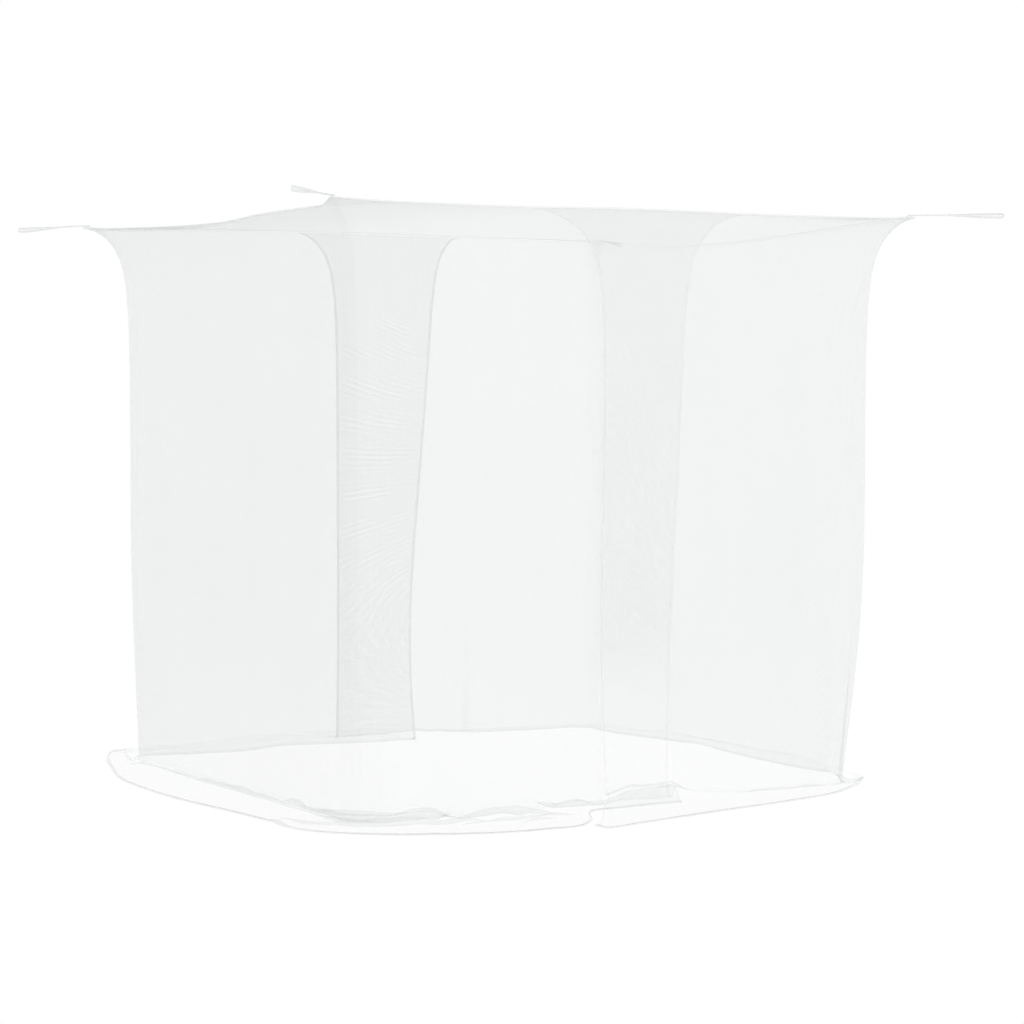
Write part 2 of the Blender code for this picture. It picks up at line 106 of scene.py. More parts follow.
# %% [markdown]
# ## The room
#
# The net is white and hangs before white. What one sees of it is how much light its
# threads hold back, layer on layer. So the paper behind it is white to the camera, and
# a little brighter under the net, while the cloth is lit a little less. Were both
# alike, the net would vanish.

# %% World and paper
scene.view_settings.view_transform = "Standard"
scene.cycles.transparent_max_bounces = 64
WHITE, BLACK = (1.0, 1.0, 1.0, 1.0), (0.0, 0.0, 0.0, 1.0)
AMBIENT = 0.62
PAPER_SEEN, PAPER_UNDER_NET, PAPER_LIGHT = 1.0, 1.018, 0.84
BRIGHTER_TO, BRIGHTER_END = 1.0, 5.0  # metres from the middle of the floor


def map_range(tree, inputs, interpolation="LINEAR"):
    node = add_node(tree, "ShaderNodeMapRange", interpolation_type=interpolation)
    feed(tree, node, inputs)
    return node.outputs["Result"]


def paper_brightness(tree):
    """The paper's brightness to the camera, which falls off from the middle of the floor."""
    place = add_node(tree, "ShaderNodeNewGeometry").outputs["Position"]
    away = add_node(tree, "ShaderNodeVectorMath", {0: place}, operation="LENGTH")
    span = {"Value": away.outputs["Value"], "From Min": BRIGHTER_TO, "From Max": BRIGHTER_END}
    levels = {"To Min": PAPER_UNDER_NET, "To Max": PAPER_SEEN}
    return map_range(tree, {**span, **levels}, "SMOOTHSTEP")


def glow(tree, light, brightness):
    """A strength that is this brightness to the camera, and this light to all else."""
    by_camera = add_node(tree, "ShaderNodeLightPath").outputs["Is Camera Ray"]
    return map_range(tree, {"Value": by_camera, "To Min": light, "To Max": brightness})


world = bpy.data.worlds.new("white_studio")
scene.world = world
world.use_nodes = True
sky_glow = glow(world.node_tree, AMBIENT, 1.0)
sky = world.node_tree.nodes["Background"]
feed(world.node_tree, sky, {"Color": WHITE, "Strength": sky_glow})

paper = add_material("white_paper", {"Base Color": BLACK, "Emission Color": WHITE})
paper_glow = glow(paper.node_tree, PAPER_LIGHT, paper_brightness(paper.node_tree))
set_shader(
    paper, {"Roughness": 1.0, "Specular IOR Level": 0.0, "Emission Strength": paper_glow}
)
print("the paper is", PAPER_UNDER_NET, "bright under the net and", PAPER_SEEN, "far off")

# %% Floor and lights
COVE_INNER, COVE_BEND, COVE_TOP = 14.0, 8.0, 14.0  # metres
COVE_STEPS, COVE_TURNS = 16, 96
PAPER_BELOW = 0.0005  # so that cloth and paper never share a plane
LIGHT_AIM = Vector((0.0, 0.0, 0.9))


def cove():
    """A round floor of paper that curves up on all sides, so that it has no horizon."""
    bend = np.linspace(0, math.pi / 2, COVE_STEPS)
    curve = COVE_INNER + COVE_BEND * np.sin(bend)
    out = [0.01, COVE_INNER / 2, *curve, COVE_INNER + COVE_BEND]
    up = [0.0, 0.0, *(COVE_BEND * (1 - np.cos(bend))), COVE_TOP]
    turn = np.arange(COVE_TURNS) * 2 * math.pi / COVE_TURNS
    round_it = [(math.cos(angle), math.sin(angle)) for angle in turn]
    points = [(r * x, r * y, z - PAPER_BELOW) for r, z in zip(out, up) for x, y in round_it]
    faces = [tuple(range(COVE_TURNS))]
    for row in range(len(out) - 1):
        for step in range(COVE_TURNS):
            after = (step + 1) % COVE_TURNS
            inner, outer = row * COVE_TURNS, (row + 1) * COVE_TURNS
            faces.append((inner + step, outer + step, outer + after, inner + after))
    mesh = bpy.data.meshes.new("studio_cove")
    mesh.from_pydata(points, [], faces)
    mesh.shade_smooth()
    mesh.materials.append(paper)
    return add_object("studio_cove", mesh)


cove()


def add_softbox(name, place, size, watts):
    """A square light that looks at the middle of the net."""
    light = bpy.data.lights.new(name, "AREA")
    light.size, light.energy = size, watts
    box = add_object(name, light)
    box.location = place
    box.rotation_euler = (LIGHT_AIM - box.location).to_track_quat("-Z", "Y").to_euler()


add_softbox("key_light", (2.5, -8.0, 4.5), 3.5, 170)
add_softbox("back_light", (-2.0, 8.0, 4.5), 3.0, 130)
print("lights:", [light.name for light in bpy.data.lights])

# %% [markdown]
# ## The camera
#
# It stands well back, at chest height, a little to the left, and looks slightly down.
# The long lens keeps the upright edges nearly parallel.

# %% Camera
CAMERA_PLACE = np.array([-4.761, -8.547, 1.308])  # from the middle of the roof's plan
CAMERA_TURN, CAMERA_PITCH = -29.644, 2.561  # degrees
PHOTO_SIZE, FOCAL_PIXELS, SENSOR = 1024, 2910.8, 36.0

camera = add_object("camera", bpy.data.cameras.new("camera"))
camera.data.sensor_width = SENSOR
camera.data.lens = SENSOR * FOCAL_PIXELS / PHOTO_SIZE
camera.location = CAMERA_PLACE + ROOF_MIDDLE
camera.rotation_euler = (math.radians(90 - CAMERA_PITCH), 0, math.radians(CAMERA_TURN))
scene.camera = camera
print("lens:", round(camera.data.lens, 1), "mm")

# %% [markdown]
# ## The net's cloth
#
# Mosquito net is a knitted mesh of fine polyester threads with holes of about a
# millimetre and a half. From where the camera stands nobody can see one hole: the
# threads only take about a fifth of what is behind them. So the holes are a pattern in
# how see-through the cloth is, read from its own UV map in metres. The `fullness`
# attribute makes it denser where more cloth is gathered into the same width.

# %% Material of the net
MESH_PITCH = 0.0016
HOLE_ALPHA, THREAD_ALPHA = 0.14, 0.335
HOLE_EDGE = 0.75  # where the thread ends, with 0 on the thread and 1 in the hole
NET_COLOUR, NET_SHADE = (0.81, 0.833, 0.832), 0.975
RELIEF = 0.0003


def calculate(tree, operation, *values):
    """One Math node. Each value is a socket or a number."""
    return add_node(tree, "ShaderNodeMath", enumerate(values), operation=operation).outputs[0]


def cut_place(tree):
    """Where a point of the cloth lies in the piece as it was cut."""
    return add_node(tree, "ShaderNodeUVMap", uv_map="cut_cloth").outputs["UV"]


def two_tones(tree, pattern, dark, light, start=0.0, end=1.0):
    """Turns a pattern between 0 and 1 into colours from dark to light."""
    ramp = add_node(tree, "ShaderNodeValToRGB", {"Fac": pattern})
    for stop, place, colour in zip(ramp.color_ramp.elements, (start, end), (dark, light)):
        stop.position, stop.color = place, (*colour, 1.0)
    return ramp.outputs["Color"]


def shaded(colour, share):
    return [share * part for part in colour]


def relief(tree, height, strength):
    inputs = {"Height": height, "Strength": strength, "Distance": RELIEF}
    return add_node(tree, "ShaderNodeBump", inputs).outputs["Normal"]


def net_material():
    material = add_material(
        "white_net", {"Roughness": 0.75, "Specular IOR Level": 0.25, "Sheen Weight": 0.15}
    )
    tree = material.node_tree
    flat = cut_place(tree)
    place = add_node(tree, "ShaderNodeSeparateXYZ", {"Vector": flat}).outputs
    threads = []
    for diagonal in ("ADD", "SUBTRACT"):
        across = calculate(tree, diagonal, place["X"], place["Y"])
        turn = calculate(tree, "MULTIPLY", across, math.pi / MESH_PITCH)
        threads.append(calculate(tree, "ABSOLUTE", calculate(tree, "SINE", turn)))
    hole = {"Value": calculate(tree, "MINIMUM", *threads), "From Max": HOLE_EDGE}
    alphas = {"To Min": THREAD_ALPHA, "To Max": HOLE_ALPHA}
    density = map_range(tree, {**hole, **alphas}, "SMOOTHSTEP")
    fullness = add_node(tree, "ShaderNodeAttribute", attribute_name="fullness").outputs["Fac"]
    noise = {"Vector": flat, "Scale": 3.0, "Detail": 4.0}
    streaks = add_node(tree, "ShaderNodeTexNoise", noise).outputs["Fac"]
    dark = shaded(NET_COLOUR, NET_SHADE)
    set_shader(
        material,
        {
            "Alpha": calculate(tree, "MULTIPLY", density, fullness),
            "Base Color": two_tones(tree, streaks, dark, NET_COLOUR, 0.35, 0.65),
            "Normal": relief(tree, density, 0.2),
        },
    )
    return material


white_net = net_material()
print(white_net.name, "has", len(white_net.node_tree.nodes), "nodes")

# %% [markdown]
# ## The tape
#
# The binding and the loops are a narrow woven tape. It is much closer than the net, so
# it shows as a thin grey line. Fine ribs run along it, and the grooves between them are painted
# darker as painted shade.

# %% Material of the tape
RIB_PITCH = 0.0018
WAVE_SCALE = 0.314  # the Wave texture's scale for one rib to the metre
TAPE_COLOUR, TAPE_SHADE = (0.74, 0.77, 0.765), 0.93


def tape_material(name, alpha):
    material = add_material(
        name, {"Roughness": 0.8, "Specular IOR Level": 0.2, "Alpha": alpha}
    )
    tree = material.node_tree
    wave = {"Vector": cut_place(tree), "Scale": WAVE_SCALE / RIB_PITCH, "Distortion": 0.6}
    ribs = add_node(tree, "ShaderNodeTexWave", wave, bands_direction="Y").outputs["Fac"]
    # the grooves between the ribs, where the bump sinks, get the darker colour: painted shade
    tint = two_tones(tree, ribs, shaded(TAPE_COLOUR, TAPE_SHADE), TAPE_COLOUR)
    set_shader(material, {"Base Color": tint, "Normal": relief(tree, ribs, 0.4)})
    return material


sheer_tape = tape_material("sheer_tape", 0.09)
woven_tape = tape_material("woven_tape", 0.26)
print("tapes:", sheer_tape.name, woven_tape.name)

# %% [markdown]
# ## Small helpers
#
# The cloth is worked out one whole row of points at a time, so these helpers take
# arrays as well as single numbers.

# %% Helpers


def smooth(value):
    share = np.clip(value, 0.0, 1.0)
    return share * share * (3 - 2 * share)


def mix(first, second, share):
    return first + (second - first) * share


def smooth_curve(places, values, place):
    """Reads a smooth curve that runs through these values at these places."""
    places, values = np.array(places, float), np.array(values, float)
    place = np.clip(place, places[0], places[-1])
    low = np.clip(np.searchsorted(places, place, side="right") - 1, 0, len(places) - 2)
    before = np.maximum(np.arange(len(places)) - 1, 0)
    after = np.minimum(np.arange(len(places)) + 1, len(places) - 1)
    slopes = (values[after] - values[before]) / (places[after] - places[before])
    length = places[low + 1] - places[low]
    share = (place - places[low]) / length
    ease_in = share * (1 - share) ** 2 * length * slopes[low]
    ease_out = share * share * (share - 1) * length * slopes[low + 1]
    return mix(values[low], values[low + 1], smooth(share)) + ease_in + ease_out


def bump(away, half_width):
    """1 at the middle of a ridge, 0 from half_width on."""
    inside = np.abs(away) < half_width
    return np.where(inside, np.cos(math.pi / 2 * away / half_width) ** 2, 0.0)


def ripple(first, second):
    """A soft uneven pattern between -1 and 1, with bumps about 1 apart."""
    waves_of_it = (
        np.sin(5.1 * first + 1.9 * second + 0.4),
        np.sin(-3.3 * first + 4.7 * second + 2.1),
        np.sin(7.7 * first - 2.3 * second + 4.0),
        np.sin(1.7 * first + 8.3 * second + 1.2),
    )
    return sum(waves_of_it) / len(waves_of_it)


# %% [markdown]
# ## Where the roof hangs
#
# The loops pull the roof's corners out, so its edges bow inwards between them and
# droop a little, and its middle sags. Each number below is a real size in metres, and
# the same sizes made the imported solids.

# %% Roof shape
ROOF_LENGTH, ROOF_WIDTH, HANG_HEIGHT = 2.10, 1.94, 1.84
DROOP_SHARES = (0.0, 0.1, 0.3, 0.5, 0.7, 0.9, 1.0)
RoofEdge = namedtuple("RoofEdge", "bow start tenth third half past_half near_end")
ROOF_EDGES = (
    RoofEdge(0.050, 0.022, 0.008, 0.007, 0.001, 0.005, 0.006),  # front
    RoofEdge(0.050, 0.003, 0.009, 0.030, 0.043, 0.041, 0.015),  # right
    RoofEdge(0.060, 0.003, 0.000, 0.000, -0.004, -0.003, 0.001),  # back
    RoofEdge(0.050, 0.004, 0.016, 0.031, 0.034, 0.020, 0.020),  # left
)
EDGE_REACH = 0.11
ROOF_MIDDLE_SAG = 0.030
CornerPull = namedtuple("CornerPull", "reach_x reach_y")
CORNER_PULLS = (CornerPull(0.200, 0.045), *[CornerPull(0.060, 0.060)] * 3)


def edge_bow(side, share):
    return ROOF_EDGES[side].bow * 4 * share * (1 - share)


def edge_droop(side, share):
    droops = (*ROOF_EDGES[side][1:], ROOF_EDGES[(side + 1) % 4].start)
    return smooth_curve(DROOP_SHARES, droops, share)


def roof_point(a, b):
    """Points of the roof: a runs left to right and b front to back, 0 to 1."""
    x = ROOF_LENGTH * (a - 0.5) + (1 - a) * edge_bow(3, 1 - b) - a * edge_bow(1, b)
    y = ROOF_WIDTH * (b - 0.5) + (1 - b) * edge_bow(0, a) - b * edge_bow(2, 1 - a)
    from_edge = (b * ROOF_WIDTH, (1 - a) * ROOF_LENGTH, (1 - b) * ROOF_WIDTH, a * ROOF_LENGTH)
    along_edge = (a, b, 1 - a, 1 - b)
    near = [np.exp(-away / EDGE_REACH) for away in from_edge]
    droop = sum(near[side] * edge_droop(side, along_edge[side]) for side in range(4))
    loose = 1.0
    for corner, pull in enumerate(CORNER_PULLS):
        droop = droop - near[corner] * near[corner - 1] * ROOF_EDGES[corner].start
        away_x = from_edge[3 if corner in (0, 3) else 1]
        away_y = from_edge[0 if corner < 2 else 2]
        reaches = (away_x / pull.reach_x) ** 2 + (away_y / pull.reach_y) ** 2
        loose = loose * (1 - np.exp(-reaches))
    middle = ROOF_MIDDLE_SAG * np.maximum(16 * a * (1 - a) * b * (1 - b), 0.0) ** 1.5
    return np.stack([x, y, HANG_HEIGHT - droop * loose - middle], axis=-1)


def roof_height(x, y):
    """The roof's height over points of the plan."""
    a, b = x / ROOF_LENGTH + 0.5, y / ROOF_WIDTH + 0.5
    for _ in range(4):
        over = roof_point(np.clip(a, 0, 1), np.clip(b, 0, 1))
        a, b = a + (x - over[..., 0]) / ROOF_LENGTH, b + (y - over[..., 1]) / ROOF_WIDTH
    return roof_point(np.clip(a, 0, 1), np.clip(b, 0, 1))[..., 2]


def seam_point(ring, slot=0.0):
    """Points of the roof seam, moved inwards by slot. Ring 0 is the front left corner,
    1 the front right, 2 the back right and 3 the back left."""
    ring = np.asarray(ring, float)
    side, share = np.floor(ring).astype(int) % 4, ring - np.floor(ring)
    a = np.choose(side, [share, 1.0 + 0 * share, 1 - share, 0 * share])
    b = np.choose(side, [0 * share, share, 1.0 + 0 * share, 1 - share])
    slot_a, slot_b = slot / ROOF_LENGTH, slot / ROOF_WIDTH
    return roof_point(np.clip(a, slot_a, 1 - slot_a), np.clip(b, slot_b, 1 - slot_b))


# %% [markdown]
# ## Where the curtains hang
#
# Below the seam the cloth swings in and falls straight, then turns outwards on the
# floor and lies there in a pile and a skirt. Each row of the tables below holds the
# sizes at one place round the net.

# %% Curtain shape
WALL_LEFT, WALL_RIGHT, WALL_FRONT, WALL_BACK = -0.945, 0.957, -0.885, 0.900
WALL_CORNER_RADIUS, FOOT_CORNER_RADIUS = 0.065, 0.120
FLARE_DEPTH, FLARE_POWER = 0.070, 0.80
FOOT_SWING_HEIGHT = 0.900
FOOT_RADIUS = 0.020
Wave = namedtuple("Wave", "per_side phase depth")
WAVES = (Wave(1.75, 0.15, 0.006), Wave(3.25, 0.60, 0.004), Wave(4.50, 0.30, 0.002))
Fold = namedtuple("Fold", "ring top depth half_width")
FOLDS = (
    Fold(0.940, 0.80, 0.018, 0.045),
    Fold(1.070, 0.95, -0.022, 0.050),
    Fold(2.305, 1.00, 0.020, 0.055),
    Fold(3.930, 0.60, 0.014, 0.050),
    Fold(4.075, 0.75, 0.016, 0.055),
)
Ridge = namedtuple("Ridge", "start end across_start across_end height half_width")
RIDGES = (
    Ridge(2.86, 3.12, 0.062, 0.055, 0.020, 0.045),  # back left corner
    Ridge(3.10, 3.52, 0.048, 0.052, 0.016, 0.035),  # left
    Ridge(3.44, 3.90, 0.056, 0.050, 0.022, 0.040),
    Ridge(3.80, 4.16, 0.072, 0.085, 0.034, 0.048),  # round the front left corner
    Ridge(3.90, 4.10, 0.165, 0.160, 0.018, 0.040),
    Ridge(4.12, 4.30, 0.115, 0.150, 0.026, 0.042),
    Ridge(4.16, 4.42, 0.060, 0.066, 0.022, 0.040),
    Ridge(4.44, 4.64, 0.058, 0.052, 0.025, 0.046),  # under the front overlap
    Ridge(4.68, 4.93, 0.052, 0.050, 0.010, 0.040),
    Ridge(0.90, 1.10, 0.030, 0.055, 0.018, 0.040),  # front right corner
    Ridge(1.20, 1.90, 0.100, 0.095, 0.012, 0.035),
    Ridge(2.40, 2.75, 0.090, 0.100, 0.008, 0.042),  # back
)
RIDGE_FADE, RIDGE_ROOT = 0.060, 0.012
ONE_ROUND_ON = 0.2  # ring numbers this far before a form's start belong to the next round

# %% Feet and free edges
Foot = namedtuple("Foot", "ring stand hem")
LEFT_FEET = (
    (2.415, -0.080, 0.140), (2.530, -0.045, 0.170), (2.620, -0.012, 0.310),
    (2.690, 0.005, 0.310), (2.740, -0.040, 0.260), (2.800, -0.062, 0.215),
    (2.920, -0.050, 0.130), (3.000, -0.004, 0.085), (3.070, -0.030, 0.115),
    (3.280, -0.030, 0.220), (3.430, -0.010, 0.244), (3.560, -0.018, 0.245),
    (3.700, -0.026, 0.224), (3.800, -0.022, 0.204), (3.930, -0.030, 0.190),
    (3.985, -0.035, 0.216), (4.020, -0.030, 0.240), (4.060, -0.012, 0.306),
    (4.120, 0.020, 0.350), (4.190, 0.095, 0.373), (4.250, 0.112, 0.374),
    (4.295, 0.085, 0.366), (4.345, 0.042, 0.275), (4.390, 0.030, 0.135),
    (4.440, 0.028, 0.112), (4.600, 0.012, 0.098),
)
RIGHT_FEET = (
    (0.300, 0.052, 0.422), (0.335, 0.050, 0.440), (0.400, 0.042, 0.404),
    (0.530, 0.030, 0.343), (0.650, 0.016, 0.290), (0.780, 0.000, 0.232),
    (0.870, -0.010, 0.172), (0.940, -0.030, 0.084), (1.000, -0.045, 0.022),
    (1.050, -0.034, 0.030), (1.100, -0.022, 0.060), (1.160, -0.040, 0.080),
    (1.330, -0.034, 0.110), (1.460, -0.012, 0.130), (1.600, 0.018, 0.150),
    (1.720, -0.030, 0.130), (1.810, -0.060, 0.100), (1.900, -0.066, 0.070),
    (2.000, -0.050, 0.055), (2.150, -0.030, 0.080), (2.309, 0.010, 0.110),
    (2.450, 0.010, 0.190), (2.580, 0.016, 0.240),
)
FreeEdge = namedtuple("FreeEdge", "seam middle floor hem")
Curtain = namedtuple("Curtain", "name node flat_width first last feet seam_slot inset")
CURTAINS = (
    Curtain(
        "net_curtain_left",
        "curtain_left",
        4.85,
        FreeEdge(2.315, 2.356, 2.415, 2.425),
        FreeEdge(4.700, 4.622, 4.587, 4.580),
        LEFT_FEET,
        0.0048,
        0.014,
    ),
    Curtain(
        "net_curtain_right",
        "curtain_right",
        4.65,
        FreeEdge(0.335, 0.458, 0.445, 0.300),
        FreeEdge(2.625, 2.565, 2.566, 2.580),
        RIGHT_FEET,
        0.0013,
        0.0,
    ),
)
LIFT, LIFT_START, LIFT_END, LIFT_FADE = 0.014, 2.38, 4.64, 0.10
LIFT_PAST_HEM, LIFT_FADE_OUTWARDS = 0.03, 0.08
SEAM_HANG, SLOT_DEPTH = 0.0028, 0.012
LAST_DROP = 1.80
CLOTH_LEVEL = 0.001  # how high the cloth lies on the floor
print("places at the foot:", len(LEFT_FEET), "left and", len(RIGHT_FEET), "right")


def read_feet(feet, ring, column):
    places = Foot(*zip(*feet))
    return smooth_curve(places.ring, getattr(places, column), ring)


# %% The line of the walls
def wall_line(ring, height=0.0):
    """(points, outward normals) on the rounded box that the walls hang in."""
    front = [(WALL_LEFT, WALL_FRONT), (WALL_RIGHT, WALL_FRONT)]
    corners = np.array([*front, (WALL_RIGHT, WALL_BACK), (WALL_LEFT, WALL_BACK)])
    side = np.floor(ring).astype(int) % 4
    start, end = corners[side], corners[(side + 1) % 4]
    reach = np.linalg.norm(end - start, axis=1)
    along = (end - start) / reach[:, None]
    outward = np.stack([along[:, 1], -along[:, 0]], axis=1)
    radius = mix(WALL_CORNER_RADIUS, FOOT_CORNER_RADIUS, smooth(1 - height / FOOT_SWING_HEIGHT))
    half_arc = radius * math.pi / 4
    straight = reach - 2 * radius
    gone = (ring - np.floor(ring)) * (straight + 2 * half_arc)
    before = np.minimum(gone - half_arc, 0.0)
    after = np.maximum(gone - half_arc - straight, 0.0)
    turn = ((before + after) / radius)[:, None]
    on_straight = np.clip(gone - half_arc, 0.0, straight)
    step = (radius + on_straight)[:, None]
    centre = start + along * step - outward * np.reshape(radius, (-1, 1))
    normal = outward * np.cos(turn) + along * np.sin(turn)
    return centre + normal * np.reshape(radius, (-1, 1)), normal


def waves(ring, height):
    """How far the wall's waves and upright folds move it outwards."""
    growth = mix(0.3, 1.0, np.clip(1 - height / HANG_HEIGHT, 0, 1))
    turns = [2 * math.pi * (wave.per_side * (ring % 4) + wave.phase) for wave in WAVES]
    out = sum(growth * wave.depth * np.sin(turn) for wave, turn in zip(WAVES, turns))
    for fold in FOLDS:
        shape = bump((ring % 4) - (fold.ring % 4), fold.half_width)
        out = out + fold.depth * shape * smooth(1 - height / fold.top)
    return out


def between_ends(form, ring, fade):
    """(ring numbers counted on past 4, how strong a form is there) for a form that runs
    along the ring from its start to its end."""
    place = np.where(ring < form.start - ONE_ROUND_ON, ring + 4, ring)
    return place, smooth(np.minimum(place - form.start, form.end - place) / fade)


def ridge_height(ridges, ring, across):
    """How high these ridges of piled cloth stand over the floor."""
    height = 0.0
    for ridge in ridges:
        place, strength = between_ends(ridge, ring, RIDGE_FADE)
        share = np.clip((place - ridge.start) / (ridge.end - ridge.start), 0, 1)
        away = across - mix(ridge.across_start, ridge.across_end, share)
        height = height + ridge.height * bump(away, ridge.half_width) * strength
    return height * smooth(across / RIDGE_ROOT - 1)


def lift_over(curtain, ring, across):
    """How far this curtain's foot is held up by the inner one's below it."""
    inner = CURTAINS[0]
    if curtain is inner:
        return 0.0
    place = np.where(ring > LIFT_START - LIFT_FADE, ring, ring + 4)
    inside = np.minimum(place - LIFT_START, LIFT_END - place) / LIFT_FADE + 1
    past_hem = across - read_feet(inner.feet, place, "hem") - LIFT_PAST_HEM
    return LIFT * smooth(inside) * smooth(1 - past_hem / LIFT_FADE_OUTWARDS)


# %% [markdown]
# ## Creases that the solids leave out
#
# The solids have the net's main folds. A maker's eye also sees finer ones: soft pleats
# that fan out under each corner, where the cloth hangs from one point, slight upright
# ripples that deepen towards the floor, and crumpled ridges in the pile, most of all
# round the front left corner.

# %% Fine creases
CREASES = (
    Ridge(2.62, 2.90, 0.120, 0.060, 0.007, 0.018),  # back left corner
    Ridge(2.84, 3.10, 0.028, 0.040, 0.014, 0.018),
    Ridge(2.95, 3.20, 0.085, 0.075, 0.010, 0.016),
    Ridge(3.14, 3.40, 0.020, 0.034, 0.008, 0.018),  # along the left foot
    Ridge(3.30, 3.62, 0.074, 0.060, 0.007, 0.018),
    Ridge(3.48, 3.80, 0.024, 0.030, 0.012, 0.020),
    Ridge(3.64, 3.86, 0.082, 0.066, 0.010, 0.016),
    Ridge(3.80, 4.00, 0.030, 0.046, 0.018, 0.020),  # round the front left corner
    Ridge(3.88, 4.05, 0.115, 0.100, 0.016, 0.020),
    Ridge(3.96, 4.20, 0.130, 0.180, 0.020, 0.022),
    Ridge(4.02, 4.16, 0.046, 0.062, 0.022, 0.020),
    Ridge(4.10, 4.36, 0.215, 0.190, 0.016, 0.026),
    Ridge(4.14, 4.34, 0.138, 0.170, 0.020, 0.022),
    Ridge(4.20, 4.32, 0.250, 0.230, 0.012, 0.020),
    Ridge(4.26, 4.44, 0.110, 0.078, 0.022, 0.020),
    Ridge(4.34, 4.58, 0.064, 0.048, 0.018, 0.018),
    Ridge(4.53, 4.61, 0.062, 0.054, 0.030, 0.026),  # the gathered end in the front
    Ridge(0.95, 1.05, 0.060, 0.070, 0.010, 0.018),  # front right corner
)
Gather = namedtuple("Gather", "start end height")
GATHERS = (  # the slack beside the foot, pushed together like an accordion
    Gather(2.80, 3.16, 0.006),
    Gather(3.10, 3.95, 0.007),
    Gather(3.85, 4.40, 0.014),
    Gather(4.34, 4.62, 0.007),
    Gather(0.94, 1.08, 0.005),
)
Tuck = namedtuple("Tuck", "ring top half_width depth")
TUCKS = (  # small upright folds in which the cloth lies three deep
    Tuck(0.968, 0.66, 0.0165, 0.0060),  # front right corner
)
TUCK_BACK = 0.8  # how far a tuck's middle layer runs back, as a share of half its width
TUCK_OPENS = 1.5  # a tuck is gone where the skirt has spread by 1 / 1.5 of its width
GATHER_LENGTH, GATHER_REACH, GATHER_FADE = 0.024, 0.10, 0.08
GATHER_WAVER = 0.9  # how far the small folds stray, in folds
GATHER_MEAN, GATHER_SWING = 0.6, 0.9  # how strong they are, and how unevenly
CORNER_PLEATS = 46.0  # pleats for each side's length, near the corners
CORNER_PLEAT_DEPTH, CORNER_PLEAT_REACH = 0.0016, 0.13
PLEATS_START, PLEATS_LEFT_BELOW = 0.10, 0.35
UPRIGHT_RIPPLES, UPRIGHT_RIPPLE_DEPTH = 2.6, 0.0032
RIPPLES_UP_TO = 1.2  # shares of the hanging height
SKIRT_CRUMPLE = 0.0030
HEM_LIES_FLAT = 0.045  # the crumples die out this far before the hem
print("creases:", len(CREASES), "gathers:", len(GATHERS), "tucks:", len(TUCKS))


def fine_creases(ring, height):
    """How far the walls' fine pleats and ripples move the cloth outwards."""
    to_corner = np.abs(ring - np.round(ring))
    fan = np.exp(-to_corner / CORNER_PLEAT_REACH) * np.sin(2 * math.pi * CORNER_PLEATS * ring)
    below_seam = smooth((HANG_HEIGHT - height) / PLEATS_START)
    fades_down = mix(PLEATS_LEFT_BELOW, 1.0, np.clip(height / HANG_HEIGHT, 0, 1))
    pleats = CORNER_PLEAT_DEPTH * fan * fades_down
    ripples = UPRIGHT_RIPPLE_DEPTH * ripple(UPRIGHT_RIPPLES * ring, 0.35 * height)
    return below_seam * (pleats + ripples * smooth(RIPPLES_UP_TO - height / HANG_HEIGHT))


def tucked(ring, height, spread=0.0):
    """(ring numbers, distances outwards) of columns that lie in the tucks like a Z. The
    skirt opens them out again towards the hem."""
    out = 0.0
    for tuck in TUCKS:
        share = np.clip((ring % 4 - tuck.ring) / tuck.half_width, -1.0, 1.0)
        closed = smooth(1 - height / tuck.top) * smooth(1 - TUCK_OPENS * spread)
        fold = np.sin(math.pi * share) * closed
        ring = ring - TUCK_BACK * tuck.half_width * fold
        out = out - tuck.depth * fold
    return ring, out


def gathered(ring, across):
    """The small folds of the slack beside the foot, uneven along the way."""
    strength = 0.0
    for gather in GATHERS:
        _, there = between_ends(gather, ring, GATHER_FADE)
        strength = np.maximum(strength, gather.height * there)
    place = across / GATHER_LENGTH + GATHER_WAVER * ripple(2.2 * ring, 6 * across)
    uneven = GATHER_MEAN + GATHER_SWING * ripple(6 * ring + 2, 12 * across)
    fade = smooth((across + 0.01) / 0.02) * smooth((GATHER_REACH - across) / 0.05)
    return strength * np.maximum(uneven, 0.0) * fade * np.sin(math.pi * place) ** 2


def floor_level(curtain, ring, across):
    """Height of the cloth where it lies on the floor or on a pile."""
    level = CLOTH_LEVEL + lift_over(curtain, ring, across)
    crumple = SKIRT_CRUMPLE * (1 + ripple(16 * ring, 9 * across)) * smooth(across / 0.05)
    crumple = crumple * smooth((foot_place(curtain, ring)[1] - across) / HEM_LIES_FLAT)
    piled = ridge_height(RIDGES, ring, across) + ridge_height(CREASES, ring, across)
    return level + piled + crumple + gathered(ring, across)


# %% [markdown]
# ## From the seam to the hem
#
# A point of a curtain is found by two numbers: the ring number at which its column
# starts at the seam, and how far down the column it is. First comes the drop, down the
# wall, then the bend of the foot, and then a share of the way out to the hem.

# %% Points of a curtain


def free_edge(edge, drop, spread):
    """The free edge's ring number at a drop below the seam, then out to the hem."""
    swing = np.exp(-((drop / FLARE_DEPTH) ** FLARE_POWER))
    lean = smooth(drop / HANG_HEIGHT)
    hanging = mix(mix(edge.middle, edge.floor, lean), edge.seam, swing)
    return np.where(spread > 0, mix(edge.floor, edge.hem, spread), hanging)


def column_ring(curtain, seam_ring, drop, spread=0.0):
    """Where the columns that start at seam_ring have got to, further down the cloth."""
    ring = seam_ring
    for edge, to_corner in ((curtain.first, math.ceil), (curtain.last, math.floor)):
        corner = to_corner(edge.seam)
        outside = (seam_ring - corner) * (edge.seam - corner) > 0
        share = (seam_ring - corner) / (edge.seam - corner)
        ring = np.where(outside, mix(corner, free_edge(edge, drop, spread), share), ring)
    return ring


